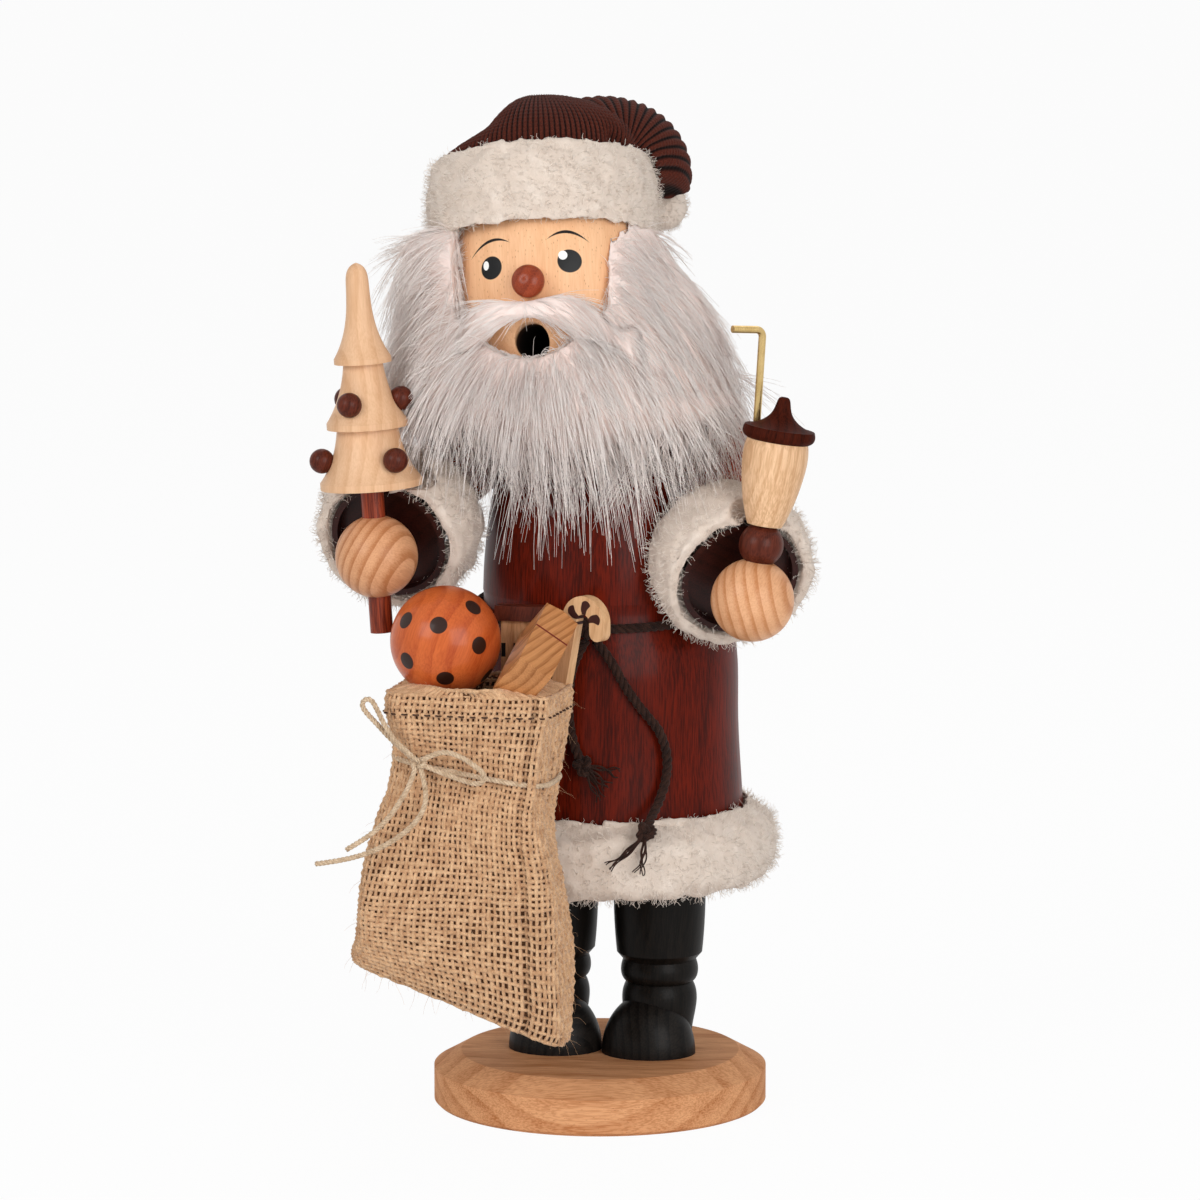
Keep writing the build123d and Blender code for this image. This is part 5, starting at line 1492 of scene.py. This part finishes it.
# Ribs run together at their pole, so they fade out within this many metres of it.
smooth_pole = 0.010
dent = np.exp(-((from_line(places, pinch_line) / groove_width) ** 2))
places = places - normals * (groove_depth * dent + room_for_ribs)[:, None]
hat_mesh.vertices.foreach_set("co", places.ravel())
hat_mesh.update()
note(hat_mesh, "ribs", "FLOAT", ribs)
note(hat_mesh, "reach", "FLOAT", np.where(hanging_side, np.linalg.norm(places - pinch, axis=1), high))
note(hat_mesh, "knit", "FLOAT", np.clip(distance / smooth_pole, 0.1, 1.0))
cap = grown(
    "knit_cap", hat_mesh, knitting,
    rib_height=0.85 * mm, stitch_size=1.4 * mm, stitch_height=0.1 * mm, material=knit_wool,
)
dress(cap, knit_wool, "top", "knit", "hat_crown")
print("ribs round the cap:", round(float(upright_ribs.max() + fan_ribs.max() - fan_ribs.min())))

# %% [markdown]
# Burlap is an open plain weave of thick uneven jute. Its threads are real geometry: the sack's outline is cut
# into rings and columns, and each crossing gives one point of a ring thread and one of an upright thread. The
# tree runs round threads through them that pass over and under each other. A thin dark sheet inside closes
# the gaps; its colour is painted shade, for the dark seen through the weave and in the sack's mouth.

# %% Weave tree
weave, given, result = group(
    "Weave",
    "GeometryNodeTree",
    [
        ("Geometry", "NodeSocketGeometry", None),
        ("Thread Radius", "NodeSocketFloat", 0.00055),
        ("Crossing Height", "NodeSocketFloat", 0.0003),
        ("Wander", "NodeSocketFloat", 0.0009),
        ("Material", "NodeSocketMaterial", None),
    ],
    [("Geometry", "NodeSocketGeometry")],
)
threads = put(weave, "GeometryNodeMeshToCurve", {"Mesh": given["Geometry"]}).outputs[0]
lift = maths(weave, "MULTIPLY", stored(weave, "wave"), given["Crossing Height"])
lift = scaled(weave, stored(weave, "outwards", "FLOAT_VECTOR"), lift)
where = put(weave, "GeometryNodeInputPosition").outputs[0]
astray = vectors(weave, "SUBTRACT", noise(weave, where, 260.0, 2.0, "Color"), (0.5, 0.5, 0.5))
shift = vectors(weave, "ADD", lift, scaled(weave, astray, given["Wander"]))
threads = put(weave, "GeometryNodeSetPosition", {"Geometry": threads, "Offset": shift}).outputs[0]
uneven = rise(weave, noise(weave, scaled(weave, where, 330.0), 1.0, 2.0), 0.25, 0.75, 0.62, 1.3)
inputs = {"Resolution": 5, "Radius": given["Thread Radius"]}
profile = put(weave, "GeometryNodeCurvePrimitiveCircle", inputs).outputs[0]
inputs = {"Curve": threads, "Profile Curve": profile, "Scale": uneven, "Fill Caps": True}
cloth = put(weave, "GeometryNodeCurveToMesh", inputs).outputs[0]
finished(weave, [cloth], given["Material"], result[0])

burlap_light = colour(236, 196, 154)
burlap_thread = fibrous("burlap thread", colour(176, 128, 90), burlap_light, 5.0, 0.35, sheen=0.2, bump=0.5)
# Painted shade: a darker copy of the burlap, for the sheet inside the weave.
burlap_shade = fibrous("burlap painted shade", colour(62, 40, 26), colour(112, 78, 54), 3.0, 0.5, sheen=0.0)
stitch_thread = fibrous("dark stitches", colour(46, 28, 18), colour(92, 62, 44), 6.0, 0.8, sheen=0.1)
print("weave tree has", len(weave.nodes), "nodes")

# %% Sack outline
sack_x, sack_y, sack_base, sack_rise = -29, -54, 45.0, 103.5
sack_half_width, sack_half_depth = 34, 15
# Share of the height; left, right, front and back as shares of the width and depth; slope in degrees.
sack_rows = [
    (1.000, -0.338, 0.449, -0.833, 0.360, 0),
    (0.879, -0.346, 0.441, -0.833, 0.360, 0),
    (0.739, -0.316, 0.400, -0.767, 0.283, 9),
    (0.531, -0.397, 0.426, -0.900, 0.040, 4),
    (0.338, -0.463, 0.471, -1.017, 0.045, 0),
    (0.164, -0.500, 0.500, -0.983, -0.017, 8),
    (0.000, -0.500, 0.493, -0.750, -0.100, 20.6),
]
sack_rows = np.array(sack_rows)[::-1]
merged = bmesh.new()
merged.from_mesh(nodes["sack"].data)
bmesh.ops.remove_doubles(merged, verts=merged.verts, dist=1e-6)
sack_tree = BVHTree.FromBMesh(merged)
columns = 92
# Metres from the middle: where each ray starts, and the place that is used if it meets nothing.
ray_start, ray_missed = 0.09, 0.02


def sack_ring(height):
    """The sack's outline at a share of its height: even points, and the directions outwards."""
    levels, *shape = sack_rows.T
    left, right, front, back, slope = [np.interp(height, levels, values) for values in shape]
    x = sack_x + (left + right) * sack_half_width
    y = sack_y + (front + back) * sack_half_depth
    middle = Vector((x, y, sack_base + sack_rise * height)) * mm
    tilt = math.radians(slope)
    across = Vector((math.cos(tilt), 0, -math.sin(tilt)))
    found = []
    for turn in np.linspace(0, 2 * math.pi, 181)[:-1]:
        out = across * math.cos(turn) + Vector((0, 1, 0)) * math.sin(turn)
        place = sack_tree.ray_cast(middle + out * ray_start, -out)[0]
        found.append(place if place is not None else middle + out * ray_missed)
    found = np.array([tuple(place) for place in found])
    run = np.concatenate([[0], np.cumsum(np.linalg.norm(np.diff(found, axis=0, append=found[:1]), axis=1))])
    even = np.linspace(0, run[-1], columns + 1)[:-1]
    looped = np.vstack([found, found[:1]])
    ring = np.stack([np.interp(even, run, looped[:, i]) for i in range(3)], axis=1)
    along = np.roll(ring, -1, axis=0) - np.roll(ring, 1, axis=0)
    out = np.cross(along, np.array(across.cross(Vector((0, 1, 0)))))
    return ring, out / np.linalg.norm(out, axis=1)[:, None]


weft_pitch = 2.15
fold_foot = np.array((-0.0005, -0.0745, 0.055))
# Rows turned in at the rim, as depth below it and way inwards, and rows that close the bottom.
turned_in = ((0.2, 0.9), (2.2, 1.6), (4.3, 1.7), (6.4, 1.7))
bottom_shares = (0.72, 0.42)
lowest_row, pleat_count = 0.012, 13
heights = np.linspace(lowest_row, 1.0, int(sack_rise / weft_pitch) + 2)
tie_height, gather, gather_reach = 0.739, 0.9 * mm, 0.10
rings, outs = [], []
fold_column = None
for height in heights:
    ring, out = sack_ring(height)
    if fold_column is None:
        fold_column = int(np.argmin(np.linalg.norm(ring - fold_foot, axis=1)))
    near_tie = math.exp(-(((height - tie_height) / gather_reach) ** 2))
    turns = np.arange(columns) / columns * full_turn
    pleats = np.sin(turns * pleat_count + 1.2 * np.sin(turns * 3)) * gather * near_tie
    held = min(1, 4 * height, 4 * (1 - height) + 0.15)
    sag = 1.1 * mm * np.sin(turns * 3 + height * 7) * (1 - near_tie) * held
    gap = (np.arange(columns) - fold_column + columns / 2) % columns - columns / 2
    fold = 0.9 * mm * np.exp(-(((gap - 1.6) / 0.9) ** 2)) - 1.7 * mm * np.exp(-((gap / 0.7) ** 2))
    rings.append(ring + out * (pleats + sag + fold - 0.75 * mm)[:, None])
    outs.append(out)
first, rim, rim_out = rings[0], rings[-1], outs[-1]
for depth, inwards in turned_in:
    rings.append(rim - rim_out * inwards * mm - np.array((0, 0, depth * mm)))
    outs.append(-rim_out)
middle = first.mean(axis=0)
for share in bottom_shares:
    rings.insert(0, middle + (first - middle) * share)
    outs.insert(0, np.tile((0.0, 0.0, -1.0), (columns, 1)))
rings, outs = np.array(rings), np.array(outs)
print("burlap grid:", rings.shape)

# %% Sack pieces
rows = len(rings)
row_index, column_index = np.meshgrid(np.arange(rows), np.arange(columns), indexing="ij")
crossing = np.where((row_index + column_index) % 2 == 0, 1.0, -1.0)
number = row_index * columns + column_index
upright = np.stack([number[:-1], number[1:]], axis=-1).reshape(-1, 2)
around = np.stack([number, np.roll(number, -1, axis=1)], axis=-1).reshape(-1, 2) + rows * columns
grid = bpy.data.meshes.new("burlap grid")
both = np.vstack([rings.reshape(-1, 3), rings.reshape(-1, 3)])
grid.from_pydata(both.tolist(), np.vstack([upright, around]).tolist(), [])
note(grid, "outwards", "FLOAT_VECTOR", np.vstack([outs.reshape(-1, 3), outs.reshape(-1, 3)]))
note(grid, "wave", "FLOAT", np.concatenate([crossing.ravel(), -crossing.ravel()]))
sack_cloth = grown(
    "sack_weave", grid, weave,
    thread_radius=0.7 * mm, crossing_height=0.32 * mm, wander=1.3 * mm, material=burlap_thread,
)
dress(sack_cloth, burlap_thread, "base", "burlap", "sack")

# The sheet inside the weave is painted shade: a dark copy of the burlap, seen through the gaps and in the
# mouth.
shade_sheet_inset = 0.45
inner = (rings - outs * shade_sheet_inset * mm).reshape(-1, 3)
last = (rows - 1) * columns
ring_faces = [
    (a, b, b + columns, a + columns)
    for row in range(rows - 1)
    for a, b in ((row * columns + i, row * columns + (i + 1) % columns) for i in range(columns))
]
ends = [tuple(range(columns))[::-1], tuple(last + i for i in range(columns))]
shade_sheet = shaped("sack_shade_sheet", [(inner, ring_faces + ends)])
check = bmesh.new()
check.from_mesh(shade_sheet.data)
bmesh.ops.recalc_face_normals(check, faces=check.faces)
check.to_mesh(shade_sheet.data)
check.free()
dress(shade_sheet, burlap_shade, "base", "burlap", "sack")

fuzz_body = shade_sheet.data.copy()
out_now = np.array([vertex.normal[:] for vertex in fuzz_body.vertices])
stray = np.random.default_rng(31).normal(size=out_now.shape)
note(fuzz_body, "flow", "FLOAT_VECTOR", unit(unit(out_now) * 0.8 + stray * 0.9))
note(fuzz_body, "long", "FLOAT", np.ones(len(out_now)))
note(fuzz_body, "thick", "FLOAT", np.ones(len(out_now)))
fuzz = grown(
    "sack_fuzz", fuzz_body, hair_tree,
    density=26000.0, length=7 * mm, strand_radius=0.055 * mm, droop=0.5, tuft_size=3 * mm,
    tuft_pull=0.3, waves=6 * mm, seed=32, material=burlap_thread,
)
dress(fuzz, burlap_thread, "base", "burlap", "sack")

stitches_below_rim, stitch_radius, off_the_cloth = 4, 0.32 * mm, 0.75
stitch_row = len(bottom_shares) + len(heights) - 1 - stitches_below_rim
dashes = []
for i in range(0, columns, 2):
    start, end = rings[stitch_row, i], rings[stitch_row, (i + 1) % columns]
    out = outs[stitch_row, i] * off_the_cloth * mm
    bend = (start + end) / 2 + out * 1.9
    dashes.append(tube(np.array([start + out * 0.9, bend, end + out * 0.9]), stitch_radius, 5))
dress(shaped("sack_stitches", dashes), stitch_thread, "base", "burlap", "sack")

# %% String round the sack's neck, and the wadding under the toys
tie_height_z, tie_middle = 121.5, (-26.2, -61.3)
neck_wide, neck_deep, neck_tilt = 25.85, 16.95, math.radians(9)
squareness = 4.0
loop = []
for turn in np.linspace(0, full_turn, 97):
    wide, deep = math.cos(turn), math.sin(turn)
    size = (abs(wide / neck_wide) ** squareness + abs(deep / neck_deep) ** squareness) ** (-1 / squareness)
    x, y = wide * size, deep * size
    level = tie_height_z - x * math.sin(neck_tilt)
    loop.append((tie_middle[0] + x * math.cos(neck_tilt), tie_middle[1] + y, level))
tie = shaped("sack_tie_wound", wound(np.array(loop) * mm, string_radius, string_lay, closed=True))
dress(tie, jute, "base", "jute", "sack_tie")

straw = fibrous("straw wadding", colour(140, 104, 66), colour(206, 170, 120), 2.2, 0.3, bump=0.8)
wadding = grown(
    "wadding", soft_body("sack_filling", 1.2, 0.5)[0], fleece,
    lump_size=4 * mm, lump_height=1.6 * mm, density=500000.0, curl_length=1.2 * mm,
    curl_width=0.8 * mm, strand_radius=0.14 * mm, lean=3.0, seed=21, material=straw,
)
dress(wadding, straw, "base", "wadding", "sack_filling")
